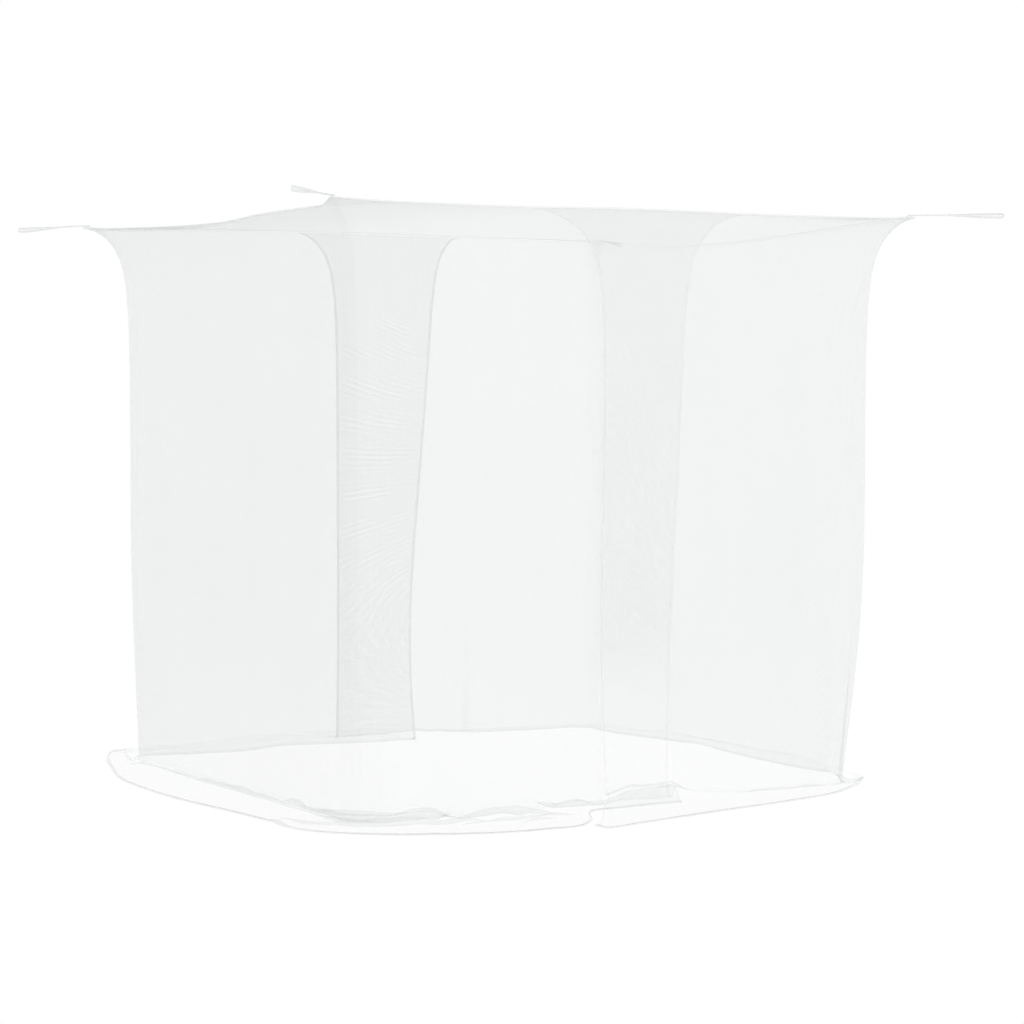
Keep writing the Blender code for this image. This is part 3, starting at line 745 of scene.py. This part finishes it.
def foot_place(curtain, ring):
    """(where the foot stands, where its hem lies), outwards from the wall line."""
    stand = read_feet(curtain.feet, ring, "stand") + waves(ring, 0.0) - curtain.inset
    return stand, np.maximum(read_feet(curtain.feet, ring, "hem"), stand + 3 * FOOT_RADIUS)


def in_space(flat, height):
    return np.concatenate([flat, height[:, None]], axis=1)


def wall_row(curtain, seam_ring, drop):
    """A row of the hanging part, at a drop below the seam."""
    share = drop / LAST_DROP
    ring, tuck = tucked(column_ring(curtain, seam_ring, drop), HANG_HEIGHT - drop)
    stand, _ = foot_place(curtain, ring)
    touch = floor_level(curtain, ring, stand) + FOOT_RADIUS
    height = mix(HANG_HEIGHT, touch, share)
    line, normal = wall_line(ring, height)
    standing = (1 - np.clip(height / FOOT_SWING_HEIGHT, 0, 1)) ** 2
    settled = smooth(1 - height / FOOT_SWING_HEIGHT)
    leaves_slot = math.exp(-drop / SLOT_DEPTH)
    inset = mix(curtain.inset, curtain.seam_slot, leaves_slot)
    floor_shift = read_feet(curtain.feet, ring, "stand") * standing * settled
    creased = fine_creases(ring, height) * smooth((1 - share) / 0.1)
    out = floor_shift + waves(ring, height) - inset + creased + tuck
    hung = line + normal * out[:, None]
    seam = seam_point(ring, inset)[:, :2]
    swing = math.exp(-((drop / FLARE_DEPTH) ** FLARE_POWER))
    flat = mix(hung, seam, swing)
    return in_space(flat, mix(roof_height(*flat.T) - SEAM_HANG, touch, share))


def bend_row(curtain, seam_ring, degrees):
    """A row of the foot's bend, from upright at 0 degrees to level at 90."""
    angle = math.radians(degrees)
    ring, tuck = tucked(column_ring(curtain, seam_ring, HANG_HEIGHT), 0.0)
    stand, _ = foot_place(curtain, ring)
    across = stand + FOOT_RADIUS * (1 - math.cos(angle)) + tuck
    line, normal = wall_line(ring)
    height = floor_level(curtain, ring, across) + FOOT_RADIUS * (1 - math.sin(angle))
    return in_space(line + normal * across[:, None], height)


def skirt_row(curtain, seam_ring, spread):
    """A row of what lies on the floor: spread is 0 at the foot and 1 at the hem."""
    ring, tuck = tucked(column_ring(curtain, seam_ring, HANG_HEIGHT, spread), 0.0, spread)
    stand, hem = foot_place(curtain, ring)
    across = mix(stand + FOOT_RADIUS, hem, spread) + tuck
    line, normal = wall_line(ring)
    return in_space(line + normal * across[:, None], floor_level(curtain, ring, across))


# %% [markdown]
# ## Hems
#
# A hem is the cloth's own edge, turned over twice and sewn down. It is made here as it
# is sewn: the last rows of the grid are laid back over the ones before them, and then
# forward again, a thread's thickness apart. Three layers of sheer cloth show as the
# thin grey line along every edge. On the floor the stiff hem arches up a little.

# %% Hems of a grid
HEM_WIDTH = 0.012
HEM_LAYER_GAP = 0.0007
HEM_ARCH = 0.0045
HEM_BULGE, HEM_EDGE_INSIDE = 0.06, 0.2  # shares of a row's width
HEM_TURNS = np.array([0.0, 0.5, 1.0, 1.0, 1.5, 2.0]) * HEM_WIDTH  # the added rows' places
HEM_ADDED = len(HEM_TURNS)
HEM_ROWS = 2 + HEM_ADDED  # all rows or columns of a hem, from its inner edge on


def grid_normals(points):
    normals = np.cross(np.gradient(points, axis=0), np.gradient(points, axis=1))
    return normals / np.maximum(np.linalg.norm(normals, axis=2, keepdims=True), 1e-9)


def turned_hem(points, normals):
    """The rows to add after a grid's last row, where its last three rows are the hem."""
    edge, middle, inner = points[-1], points[-2], points[-3]
    lift_edge, lift_middle, lift_inner = HEM_LAYER_GAP * normals[[-1, -2, -3]]
    outwards = edge - middle
    turn = edge + HEM_BULGE * outwards + 0.5 * lift_edge
    back = [turn, middle + lift_middle, inner + lift_inner]
    forth = [inner + 2 * lift_inner, middle + 2 * lift_middle]
    last = edge + 2 * lift_edge - HEM_EDGE_INSIDE * outwards
    return np.stack([*back, *forth, last])


def add_turned_hem(points, places):
    """Adds the hem after the last row. Each row has a place in the flat cloth."""
    hem = turned_hem(points, grid_normals(points))
    return np.concatenate([points, hem]), np.concatenate([places, places[-1] + HEM_TURNS])


def swap(points):
    return np.swapaxes(points, 0, 1)


def grid_faces(number):
    return np.stack([number[:-1, :-1], number[1:, :-1], number[1:, 1:], number[:-1, 1:]], axis=-1)


def grid_piece(name, points, along, down, material, fullness=None, tube=False, ring=False):
    """A grid of points as one smooth mesh, with its flat places as its UV map. A tube is
    closed across its rows, and a ring is closed from its last row to its first."""
    rows, columns = points.shape[:2]
    number = np.arange(rows * columns).reshape(rows, columns)
    if tube:
        number = np.concatenate([number, number[:, :1]], axis=1)
    if ring:
        number = np.concatenate([number, number[:1]], axis=0)
    faces = grid_faces(number).reshape(-1, 4).tolist()
    flat = np.stack(np.broadcast_arrays(along[None, :], down[:, None]), axis=-1).reshape(-1, 2)
    corners = grid_faces(np.arange(number.size).reshape(number.shape)).reshape(-1)
    flat_corners = flat[corners]
    if tube and not ring:
        ends = [number[0, :-1][::-1], number[-1, :-1]]
        faces += [end.tolist() for end in ends]
        flat_corners = np.concatenate([flat_corners, np.tile(flat[0], (2 * columns, 1))])
    mesh = bpy.data.meshes.new(name)
    mesh.from_pydata((points + ROOF_MIDDLE).reshape(-1, 3).tolist(), [], faces)
    uv_map = mesh.uv_layers.new(name="cut_cloth")
    uv_map.data.foreach_set("uv", flat_corners.astype(np.float32).ravel())
    if fullness is not None:
        attribute = mesh.attributes.new("fullness", "FLOAT", "POINT")
        attribute.data.foreach_set("value", fullness.astype(np.float32).ravel())
    mesh.materials.append(material)
    mesh.shade_smooth()
    mesh.update()
    print(name, "has", sum(len(face) - 2 for face in faces), "triangles")
    return add_object(name, mesh)


# %% [markdown]
# ## The roof panel
#
# One flat rectangle of net, stretched between four points. Taut creases run from each
# corner towards the middle and die out there.

# %% Roof panel
ROOF_STEP = 0.014
ROOF_CREASE_DEPTH, ROOF_CREASE_REACH, ROOF_CREASE_START = 0.0035, 0.45, 0.15
ROOF_CREASE_FAN = 19  # how many turns of the wave to a radian round each corner
SEAM_STAYS_FLAT = 0.08
ROOF_FULLNESS, ROOF_LEFT_FULLNESS, ROOF_LEFT_END = 1.18, 1.98, 0.45
CORNER_GATHER, CORNER_GATHER_REACH = 0.9, 0.05


def even_steps(length, step):
    """Shares from 0 to 1, closer together near both ends."""
    count = round(length / step)
    share = np.arange(count + 1) / count
    return mix(share, smooth(share), 0.35)


def roof_creases(a, b):
    """Creases that fan out from the corners, none of them deep at the seam."""
    x, y = a * ROOF_LENGTH, b * ROOF_WIDTH
    from_seam = np.minimum(np.minimum(x, ROOF_LENGTH - x), np.minimum(y, ROOF_WIDTH - y))
    depth = 0.0
    for corner_x in (0.0, ROOF_LENGTH):
        for corner_y in (0.0, ROOF_WIDTH):
            away = np.hypot(x - corner_x, y - corner_y)
            angle = np.arctan2(np.abs(y - corner_y), np.abs(x - corner_x) + 1e-9)
            fades = np.exp(-away / ROOF_CREASE_REACH) * smooth(away / ROOF_CREASE_START)
            depth = depth + np.sin(ROOF_CREASE_FAN * angle + 2 * corner_x) * fades
    return ROOF_CREASE_DEPTH * depth * smooth(from_seam / SEAM_STAYS_FLAT)


across_roof = even_steps(ROOF_LENGTH, ROOF_STEP)
along_roof = even_steps(ROOF_WIDTH, ROOF_STEP)
roof_a, roof_b = np.meshgrid(across_roof, along_roof[::-1])
roof_points = roof_point(roof_a, roof_b)
roof_points[..., 2] += roof_creases(roof_a, roof_b)
roof_fullness = mix(ROOF_LEFT_FULLNESS, ROOF_FULLNESS, smooth(roof_a / ROOF_LEFT_END))
to_corner = np.hypot(
    ROOF_LENGTH * (0.5 - np.abs(roof_a - 0.5)), ROOF_WIDTH * (0.5 - np.abs(roof_b - 0.5))
)
roof_fullness += CORNER_GATHER * np.exp(-((to_corner / CORNER_GATHER_REACH) ** 2))
net_roof = grid_piece(
    "net_roof",
    roof_points,
    across_roof * ROOF_LENGTH,
    along_roof[::-1] * ROOF_WIDTH,
    white_net,
    roof_fullness,
)

# %% [markdown]
# ## The two curtains
#
# The right curtain is the outer one where they lap. Its free edges and its foot lie on
# top of the left one's, which is why both read the same tables.

# %% Rows and columns of a curtain
COLUMNS = 450
WALL_ROWS, BEND_ROWS = 56, 6
PILE_ROWS, SKIRT_ROWS = 28, 18
PILE_WIDTH = 0.11
CORNER_CROWDING, CORNER_CROWDED = 1.3, 0.08  # how much closer columns lie, and how far out
TUCK_CROWDING, TUCK_CROWDED = 7, 1.3
FINE_STEPS = 9000


def curtain_columns(curtain):
    """Ring numbers at the seam: close together at the corners and the tucks, with both hems
    marked off."""
    first, last = curtain.first.seam, curtain.last.seam
    hem = HEM_WIDTH / ROOF_LENGTH
    fine = np.linspace(first + hem, last - hem, FINE_STEPS)
    to_corner = np.abs(fine - np.round(fine))
    crowding = 1 + CORNER_CROWDING * np.exp(-((to_corner / CORNER_CROWDED) ** 2))
    for tuck in TUCKS:
        below = (fine % 4 - tuck.ring) / (TUCK_CROWDED * tuck.half_width)
        crowding = crowding + TUCK_CROWDING * np.exp(-(below**2))
    crowding = np.cumsum(crowding)
    inner = np.interp(np.linspace(crowding[0], crowding[-1], COLUMNS), crowding, fine)
    return np.concatenate([[first, first + hem / 2], inner, [last - hem / 2, last]])


def wall_drops():
    """Drops below the seam, close together just under it."""
    share = np.linspace(0, 1, WALL_ROWS)
    return LAST_DROP * mix(share**2.2, share, 0.25)


def skirt_spreads(curtain, seam_ring):
    """For each row, how far each column has got: the pile's rows lie close together, and
    the last two rows are the hem's."""
    stand, hem = foot_place(curtain, column_ring(curtain, seam_ring, HANG_HEIGHT))
    width = hem - stand - FOOT_RADIUS
    hem_share = np.minimum(HEM_WIDTH / width, 0.3)
    pile_share = np.minimum(PILE_WIDTH / width, 0.6)
    rows = [pile_share * row / PILE_ROWS for row in range(1, PILE_ROWS + 1)]
    rows += [mix(pile_share, 1 - hem_share, row / SKIRT_ROWS) for row in range(1, SKIRT_ROWS + 1)]
    return rows + [1 - hem_share / 2, np.ones_like(hem_share)]


def arch_hem(points, ring):
    """Lifts the middle of the hem off the floor, a little unevenly."""
    points[-2, :, 2] += HEM_ARCH * (1 + 0.2 * ripple(7 * ring, 0 * ring))
    return points


# %% [markdown]
# ## How dense each part of a curtain looks
#
# More cloth in the same width, or two layers pressed together, hold back more light.
# Here that is one number for each point, and the net's material reads it.

# %% Fullness
SIDE_FULLNESS, FRONT_FULLNESS = 1.10, 1.08
SIDE_START, SIDE_BLEND = 0.46, 0.08  # from the middle of the front, in sides
STREAK_FULLNESS = 0.05
GATHER_AROUND, GATHER_BELOW = 0.02, 0.06  # the corners' reach along the ring and down
FAR_REACH, FAR_BLEND = 1.1, 0.2  # from the back right corner, in sides
FRONT_HEM_FULLNESS = 0.32  # the front hems hardly show
Pinch = namedtuple("Pinch", "ring half_width top more")
PINCHES = (  # upright folds, pressed so close that the cloth looks denser there
    Pinch(0.968, 0.0165, 0.66, 0.60),  # the tuck at the front right corner
    Pinch(2.303, 0.0120, 0.50, 0.45),  # back
)
FOOT_FULLNESS, FAR_FOOT_FULLNESS = 1.2, 1.8
PILE_FULLNESS, PILE_SHOWS = 0.65, 0.014
SKIRT_FULLNESS, FAR_SKIRT_FULLNESS, FAR_HEM_SHARE = 0.66, 0.22, 0.30
LAP_FULLNESS, LAP_THINS_FROM, LAP_THINS_OVER = 0.5, 0.62, 0.35
LAP_MARGIN = 0.005  # each curtain thins out from behind the other one's hem on


def floor_fullness(ring, height, row):
    """The piles are dense, and what lies spread on the paper hides little."""
    far_side = smooth((FAR_REACH - np.abs(ring % 4 - 2)) / FAR_BLEND)
    spread_out = smooth(1 - (height - CLOTH_LEVEL) / PILE_SHOWS)
    hem_share = np.where(row < len(height) - HEM_ROWS, 1.0, FAR_HEM_SHARE)
    near_floor = mix(PILE_FULLNESS, SKIRT_FULLNESS, spread_out)
    on_floor = mix(near_floor, FAR_SKIRT_FULLNESS * hem_share, far_side)
    in_foot = mix(FOOT_FULLNESS, FAR_FOOT_FULLNESS, far_side)
    in_floor_rows = np.where(row < WALL_ROWS + BEND_ROWS, in_foot, on_floor)
    return np.where(row <= WALL_ROWS, 1.0, in_floor_rows)


def lap_thinned(curtain, ring, height, front_hem):
    """How far both curtains have thinned out, towards the floor, where they lap in front."""
    drop = np.clip(HANG_HEIGHT - height, 0.0, LAST_DROP)
    hanging = column_ring(curtain, ring, drop) % 4
    lap_start = free_edge(CURTAINS[1].first, drop, 0.0) + LAP_MARGIN
    lap_end = free_edge(CURTAINS[0].last, drop, 0.0) % 4 - LAP_MARGIN
    lapped = ((hanging > lap_start) & (hanging < lap_end)) | front_hem
    return lapped * smooth((LAP_THINS_FROM - height) / LAP_THINS_OVER)


def curtain_fullness(curtain, ring, height):
    """How much cloth is gathered in one width, for each row and column of the grid."""
    along_side = np.abs((ring % 2) - 0.5)  # 0 in the middle of the front and the back
    side_wall = smooth((along_side - SIDE_START) / SIDE_BLEND)
    streaks = STREAK_FULLNESS * ripple(9 * ring, 0 * ring)
    fullness = mix(FRONT_FULLNESS, SIDE_FULLNESS, side_wall) + streaks
    is_hem = np.arange(len(ring)) < HEM_ROWS
    front_hem = (is_hem | is_hem[::-1]) & (ring % 4 < 1)
    fullness = np.where(front_hem, FRONT_HEM_FULLNESS, fullness)
    from_corner = (ring - np.round(ring)) ** 2 / GATHER_AROUND**2
    gathered_up = np.exp(-from_corner - (HANG_HEIGHT - height) / GATHER_BELOW)
    row = np.arange(len(height))[:, None]
    part = floor_fullness(ring, height, row)
    for pinch in PINCHES:
        pressed = bump(ring % 4 - pinch.ring, pinch.half_width) * smooth(1 - height / pinch.top)
        part = part * (1 + pinch.more * pressed)
    off_floor = row < WALL_ROWS + BEND_ROWS
    thinned = lap_thinned(curtain, ring, height, front_hem) * off_floor
    return (fullness + CORNER_GATHER * gathered_up) * part * mix(1.0, LAP_FULLNESS, thinned)


# %% Build both curtains
def build_curtain(curtain):
    ring = curtain_columns(curtain)
    degrees = np.linspace(0, 90, BEND_ROWS + 1)[1:]
    rows = [wall_row(curtain, ring, drop) for drop in wall_drops()]
    rows += [bend_row(curtain, ring, angle) for angle in degrees]
    rows += [skirt_row(curtain, ring, spread) for spread in skirt_spreads(curtain, ring)]
    points = arch_hem(np.stack(rows), ring)
    steps = np.linalg.norm(np.diff(points, axis=0), axis=2).mean(axis=1)
    down = np.concatenate([[0.0], np.cumsum(steps)])
    along = (ring - ring[0]) / (ring[-1] - ring[0]) * curtain.flat_width
    points, down = add_turned_hem(points, down)
    last_side, along = add_turned_hem(swap(points), along)
    both_sides, along = add_turned_hem(last_side[::-1], along[::-1])
    ring = np.pad(ring[::-1], HEM_ADDED, mode="edge")
    points = swap(both_sides)
    fullness = curtain_fullness(curtain, ring, points[..., 2])
    return grid_piece(curtain.name, points, along, down, white_net, fullness)


curtains = {curtain.node: build_curtain(curtain) for curtain in CURTAINS}

# %% [markdown]
# ## The binding
#
# A narrow tape is folded over the seam and sewn through, so in section it is an upside-
# down L round the roof's edge. One outline is carried along the whole seam, mitred at
# the corners, and its lower edge is let waver a little, as sewn tape does.

# %% Binding
TAPE_THICKNESS = 0.0011
TAPE_TOP, TAPE_SIDE = 0.0026, 0.0013  # middle of the tape above and beside the seam
TAPE_ON_TOP, TAPE_DOWN = 0.009, 0.0045
BINDING_STATIONS = 270  # along each side


def around(centre, thickness):
    """A closed outline round an open line of (out, up) points."""
    centre = np.array(centre)
    along = np.gradient(centre, axis=0)
    along /= np.linalg.norm(along, axis=1, keepdims=True)
    aside = np.stack([-along[:, 1], along[:, 0]], axis=1) * thickness / 2
    return np.concatenate([centre + aside, (centre - aside)[::-1]])


def lengths_along(points, closed):
    loop = np.concatenate([points, points[:1]]) if closed else points
    return np.concatenate([[0.0], np.cumsum(np.linalg.norm(np.diff(loop, axis=0), axis=-1))])


def sweep(name, path, outs, ups, outline, material, ring=False):
    """Carries an outline of (out, up) points along a path."""
    out, up = outline[None, :, :1], outline[None, :, 1:]
    points = path[:, None] + outs[:, None] * out + ups[:, None] * up
    round_it, along_it = lengths_along(outline, True), lengths_along(path, ring)
    return grid_piece(name, points, round_it, along_it, material, tube=True, ring=ring)


def mitred_outs(path):
    """Level directions away from a closed path, long enough to keep a tape's width."""
    before = path - np.roll(path, 1, axis=0)
    after = np.roll(path, -1, axis=0) - path
    outs = []
    for step in (before, after):
        step = step[:, :2] / np.linalg.norm(step[:, :2], axis=1, keepdims=True)
        outs.append(np.stack([step[:, 1], -step[:, 0], 0 * step[:, 0]], axis=1))
    share = 1 + (outs[0] * outs[1]).sum(axis=1, keepdims=True)
    return (outs[0] + outs[1]) / share


seam_rings = np.arange(4 * BINDING_STATIONS) / BINDING_STATIONS
seam_path = seam_point(seam_rings)
seam_outs = mitred_outs(seam_path)
seam_ups = np.tile([0.0, 0.0, 1.0], (len(seam_path), 1))
waver = 1 + 0.10 * ripple(40 * seam_rings, 0 * seam_rings)[:, None]
fold_line = (
    (-TAPE_ON_TOP, TAPE_TOP),
    (-0.5 * TAPE_ON_TOP, TAPE_TOP),
    (0.0, TAPE_TOP),
    (0.8 * TAPE_SIDE, 0.8 * TAPE_TOP),
    (TAPE_SIDE, 0.3 * TAPE_TOP),
    (TAPE_SIDE, -0.5 * TAPE_DOWN),
    (TAPE_SIDE, -TAPE_DOWN),
)
binding_outline = around(fold_line, TAPE_THICKNESS)
seam_binding = sweep(
    "seam_binding", seam_path, seam_outs, seam_ups * waver, binding_outline, sheer_tape, ring=True
)

# %% [markdown]
# ## The hanging loops
#
# Each loop is one tape, sewn flat on the roof's corner, out to its eye and back. The two
# strands lie together at first and part a little before the eye, where a hook or a cord
# goes through. Taut tape turns about its own line, so these do too.

# %% Loops
LoopSize = namedtuple("LoopSize", "node length droop twist")
LOOPS = (
    LoopSize("hanging_loop_front_left", 0.306, 0.000, 1.15),
    LoopSize("hanging_loop_front_right", 0.286, 0.005, -0.80),
    LoopSize("hanging_loop_back_right", 0.280, 0.005, 0.90),
    LoopSize("hanging_loop_back_left", 0.242, 0.012, -0.80),
)
LOOP_TAPE, LOOP_TAPE_WIDTH, LOOP_EYE_RADIUS = 0.0022, 0.009, 0.0064
TWIST_START, TWIST_END = 0.25, 0.85  # shares of the loop's length
LOOP_TAB, LOOP_OPENS_AT = 0.022, 0.22
LOOP_SEAT = 0.0063  # the loop's middle above the roof's corner
STRAND_STEPS, EYE_STEPS = 44, 14


def loop_line(size):
    """The middle of the tape as (along, up) points: out on top, round the eye and back."""
    apart, eye = LOOP_TAPE / 2, LOOP_EYE_RADIUS - LOOP_TAPE / 2
    along = np.linspace(-LOOP_TAB, size.length - LOOP_EYE_RADIUS, STRAND_STEPS)
    opens = size.length * LOOP_OPENS_AT
    parted = smooth((along - opens) / (along[-1] - opens))
    out = np.stack([along, mix(apart, eye, parted)], axis=1)
    angle = np.linspace(math.pi / 2, -math.pi / 2, EYE_STEPS + 2)[1:-1]
    round_eye = np.stack([along[-1] + eye * np.cos(angle), eye * np.sin(angle)], axis=1)
    back = out[::-1] * (1, -1)
    return np.concatenate([out, round_eye, back])


def build_loop(corner, size):
    tip = seam_point(float(corner))
    outwards = np.array([tip[0], tip[1], 0.0]) / math.hypot(tip[0], tip[1])
    sideways = np.array([-outwards[1], outwards[0], 0.0])
    line = loop_line(size)
    sag = size.droop * smooth((line[:, 0] - LOOP_TAB / 2) / size.length)
    rise = LOOP_SEAT + line[:, 1] - sag
    path = tip + outwards * line[:, :1] + np.array([0.0, 0.0, 1.0]) * rise[:, None]
    tangent = np.gradient(path, axis=0)
    tangent /= np.linalg.norm(tangent, axis=1, keepdims=True)
    aside = np.cross(tangent, sideways)
    share = (line[:, 0] / size.length - TWIST_START) / (TWIST_END - TWIST_START)
    turn = (size.twist * smooth(share))[:, None]
    outs = sideways * np.cos(turn) + aside * np.sin(turn)
    ups = aside * np.cos(turn) - sideways * np.sin(turn)
    half_width, half_thick = LOOP_TAPE_WIDTH / 2, 0.42 * LOOP_TAPE
    outline = around([(share * half_width, 0) for share in (-1, -0.9, 0, 0.9, 1)], 1)
    at_edge = np.abs(outline[:, 0]) > 0.95 * half_width
    outline[:, 1] *= half_thick * np.where(at_edge, 1.1, 2.0)  # the edges are thinner
    return sweep("tape_" + size.node, path, outs, ups, outline, woven_tape)


loops = {size.node: build_loop(corner, size) for corner, size in enumerate(LOOPS)}

# %% [markdown]
# ## Stitches
#
# Thousands of the same small stitch follow the seams, which is what Geometry Nodes are
# for: the tree walks along each line, puts one stitch at every step and turns it along
# the line. The result is made a plain mesh.

# %% Stitch tree
THREAD_RADIUS = 0.00030
STITCH_SIZES = {"Pitch": 0.0070, "Stitch Length": 0.0042, "Thread Radius": THREAD_RADIUS}
THREAD_DARK, THREAD_LIGHT = (0.66, 0.69, 0.69), (0.82, 0.84, 0.84)

thread = add_material("sewing_thread", {"Roughness": 0.6, "Alpha": 0.3})
thread_place = add_node(thread.node_tree, "ShaderNodeTexCoord").outputs["Object"]
fuzz = add_node(thread.node_tree, "ShaderNodeTexNoise", {"Vector": thread_place, "Scale": 220.0})
thread_tint = two_tones(thread.node_tree, fuzz.outputs["Fac"], THREAD_DARK, THREAD_LIGHT)
set_shader(thread, {"Base Color": thread_tint})

stitch_tree = bpy.data.node_groups.new("running_stitch", "GeometryNodeTree")


def tree_socket(name, kind="Float", in_out="INPUT"):
    return stitch_tree.interface.new_socket(name, in_out=in_out, socket_type="NodeSocket" + kind)


def stitch_node(kind, inputs=(), **settings):
    return add_node(stitch_tree, kind, inputs, **settings).outputs


tree_socket("Geometry", "Geometry")
size_inputs = {name: tree_socket(name).identifier for name in STITCH_SIZES}
tree_socket("Geometry", "Geometry", "OUTPUT")
given = stitch_node("NodeGroupInput")
walk = stitch_node(
    "GeometryNodeCurveToPoints",
    {"Curve": given["Geometry"], "Length": given["Pitch"]},
    mode="LENGTH",
)
cylinder = {"Vertices": 5, "Depth": given["Stitch Length"], "Radius": given["Thread Radius"]}
stitch = stitch_node("GeometryNodeMeshCylinder", cylinder)
lay = stitch_node("FunctionNodeAlignRotationToVector", {"Vector": walk["Tangent"]}, axis="Z")
laid = {"Points": walk["Points"], "Instance": stitch["Mesh"], "Rotation": lay["Rotation"]}
put = stitch_node("GeometryNodeInstanceOnPoints", laid)
made = stitch_node("GeometryNodeRealizeInstances", {"Geometry": put["Instances"]})
dyed = {"Geometry": made["Geometry"], "Material": thread}
dyed = stitch_node("GeometryNodeSetMaterial", dyed)
stitch_node("NodeGroupOutput", {"Geometry": dyed["Geometry"]})
print(stitch_tree.name, "has", len(stitch_tree.nodes), "nodes")


# %% Sewing along a line
def sew(name, lines):
    """Stitches along lines of points. Each line is (points, whether it is closed)."""
    curve = bpy.data.curves.new(name + "_line", "CURVE")
    curve.dimensions = "3D"
    for points, closed in lines:
        spline = curve.splines.new("POLY")
        spline.points.add(len(points) - 1)
        placed = np.concatenate([points + ROOF_MIDDLE, np.ones((len(points), 1))], axis=1)
        spline.points.foreach_set("co", placed.astype(np.float32).ravel())
        spline.use_cyclic_u = closed
    guide = add_object(name + "_line", curve)
    sewing = guide.modifiers.new("running stitch", "NODES")
    sewing.node_group = stitch_tree
    for size, identifier in size_inputs.items():
        sewing[identifier] = STITCH_SIZES[size]
    bpy.context.view_layer.update()
    graph = bpy.context.evaluated_depsgraph_get()
    mesh = bpy.data.meshes.new_from_object(guide.evaluated_get(graph))
    mesh.name = name
    bpy.data.objects.remove(guide)
    print(name, "has", len(mesh.polygons), "faces")
    return add_object(name, mesh)


# %% Sew the hems and the seam
ALL_COLUMNS = COLUMNS + 2 * HEM_ROWS


def hem_lines(piece):
    """The lines on which a curtain's three hems are sewn, on top of their layers."""
    points = np.empty(len(piece.data.vertices) * 3, np.float32)
    piece.data.vertices.foreach_get("co", points)
    points = points.reshape(-1, ALL_COLUMNS, 3) - ROOF_MIDDLE
    bottom = points[-3, HEM_ROWS:-HEM_ROWS] + (0, 0, THREAD_RADIUS)
    sides = [points[:-HEM_ADDED, column] for column in (2, -3)]
    return [(line, False) for line in (bottom, *sides)]


stitching = {
    node: sew("stitches_" + node, hem_lines(piece)) for node, piece in curtains.items()
}
outside_tape = TAPE_SIDE + TAPE_THICKNESS / 2 + THREAD_RADIUS / 2
above_tape = TAPE_TOP + TAPE_THICKNESS / 2 + THREAD_RADIUS / 2
side_line = seam_path + seam_outs * outside_tape - seam_ups * 0.7 * TAPE_DOWN
top_line = seam_path - seam_outs * 0.75 * TAPE_ON_TOP + seam_ups * above_tape
seam_stitches = sew("stitches_seam", [(side_line, True), (top_line, True)])

# %% [markdown]
# ## What rides, and which solids each piece stands in for
#
# Nothing here moves on its own, so every piece rides on the one body. Each cloth says

def declare(piece, slot, *nodes):
    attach(piece, "root")
    if nodes:
        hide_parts(*nodes)


declare(net_roof, "white_net", "roof_panel")
declare(seam_binding, "woven_tape", "edge_binding")
declare(seam_stitches, "woven_tape")
for curtain in CURTAINS:
    piece, stitches = curtains[curtain.node], stitching[curtain.node]
    declare(piece, "white_net", curtain.node)
    declare(stitches, "white_net")
for node, loop in loops.items():
    declare(loop, "woven_tape", node)
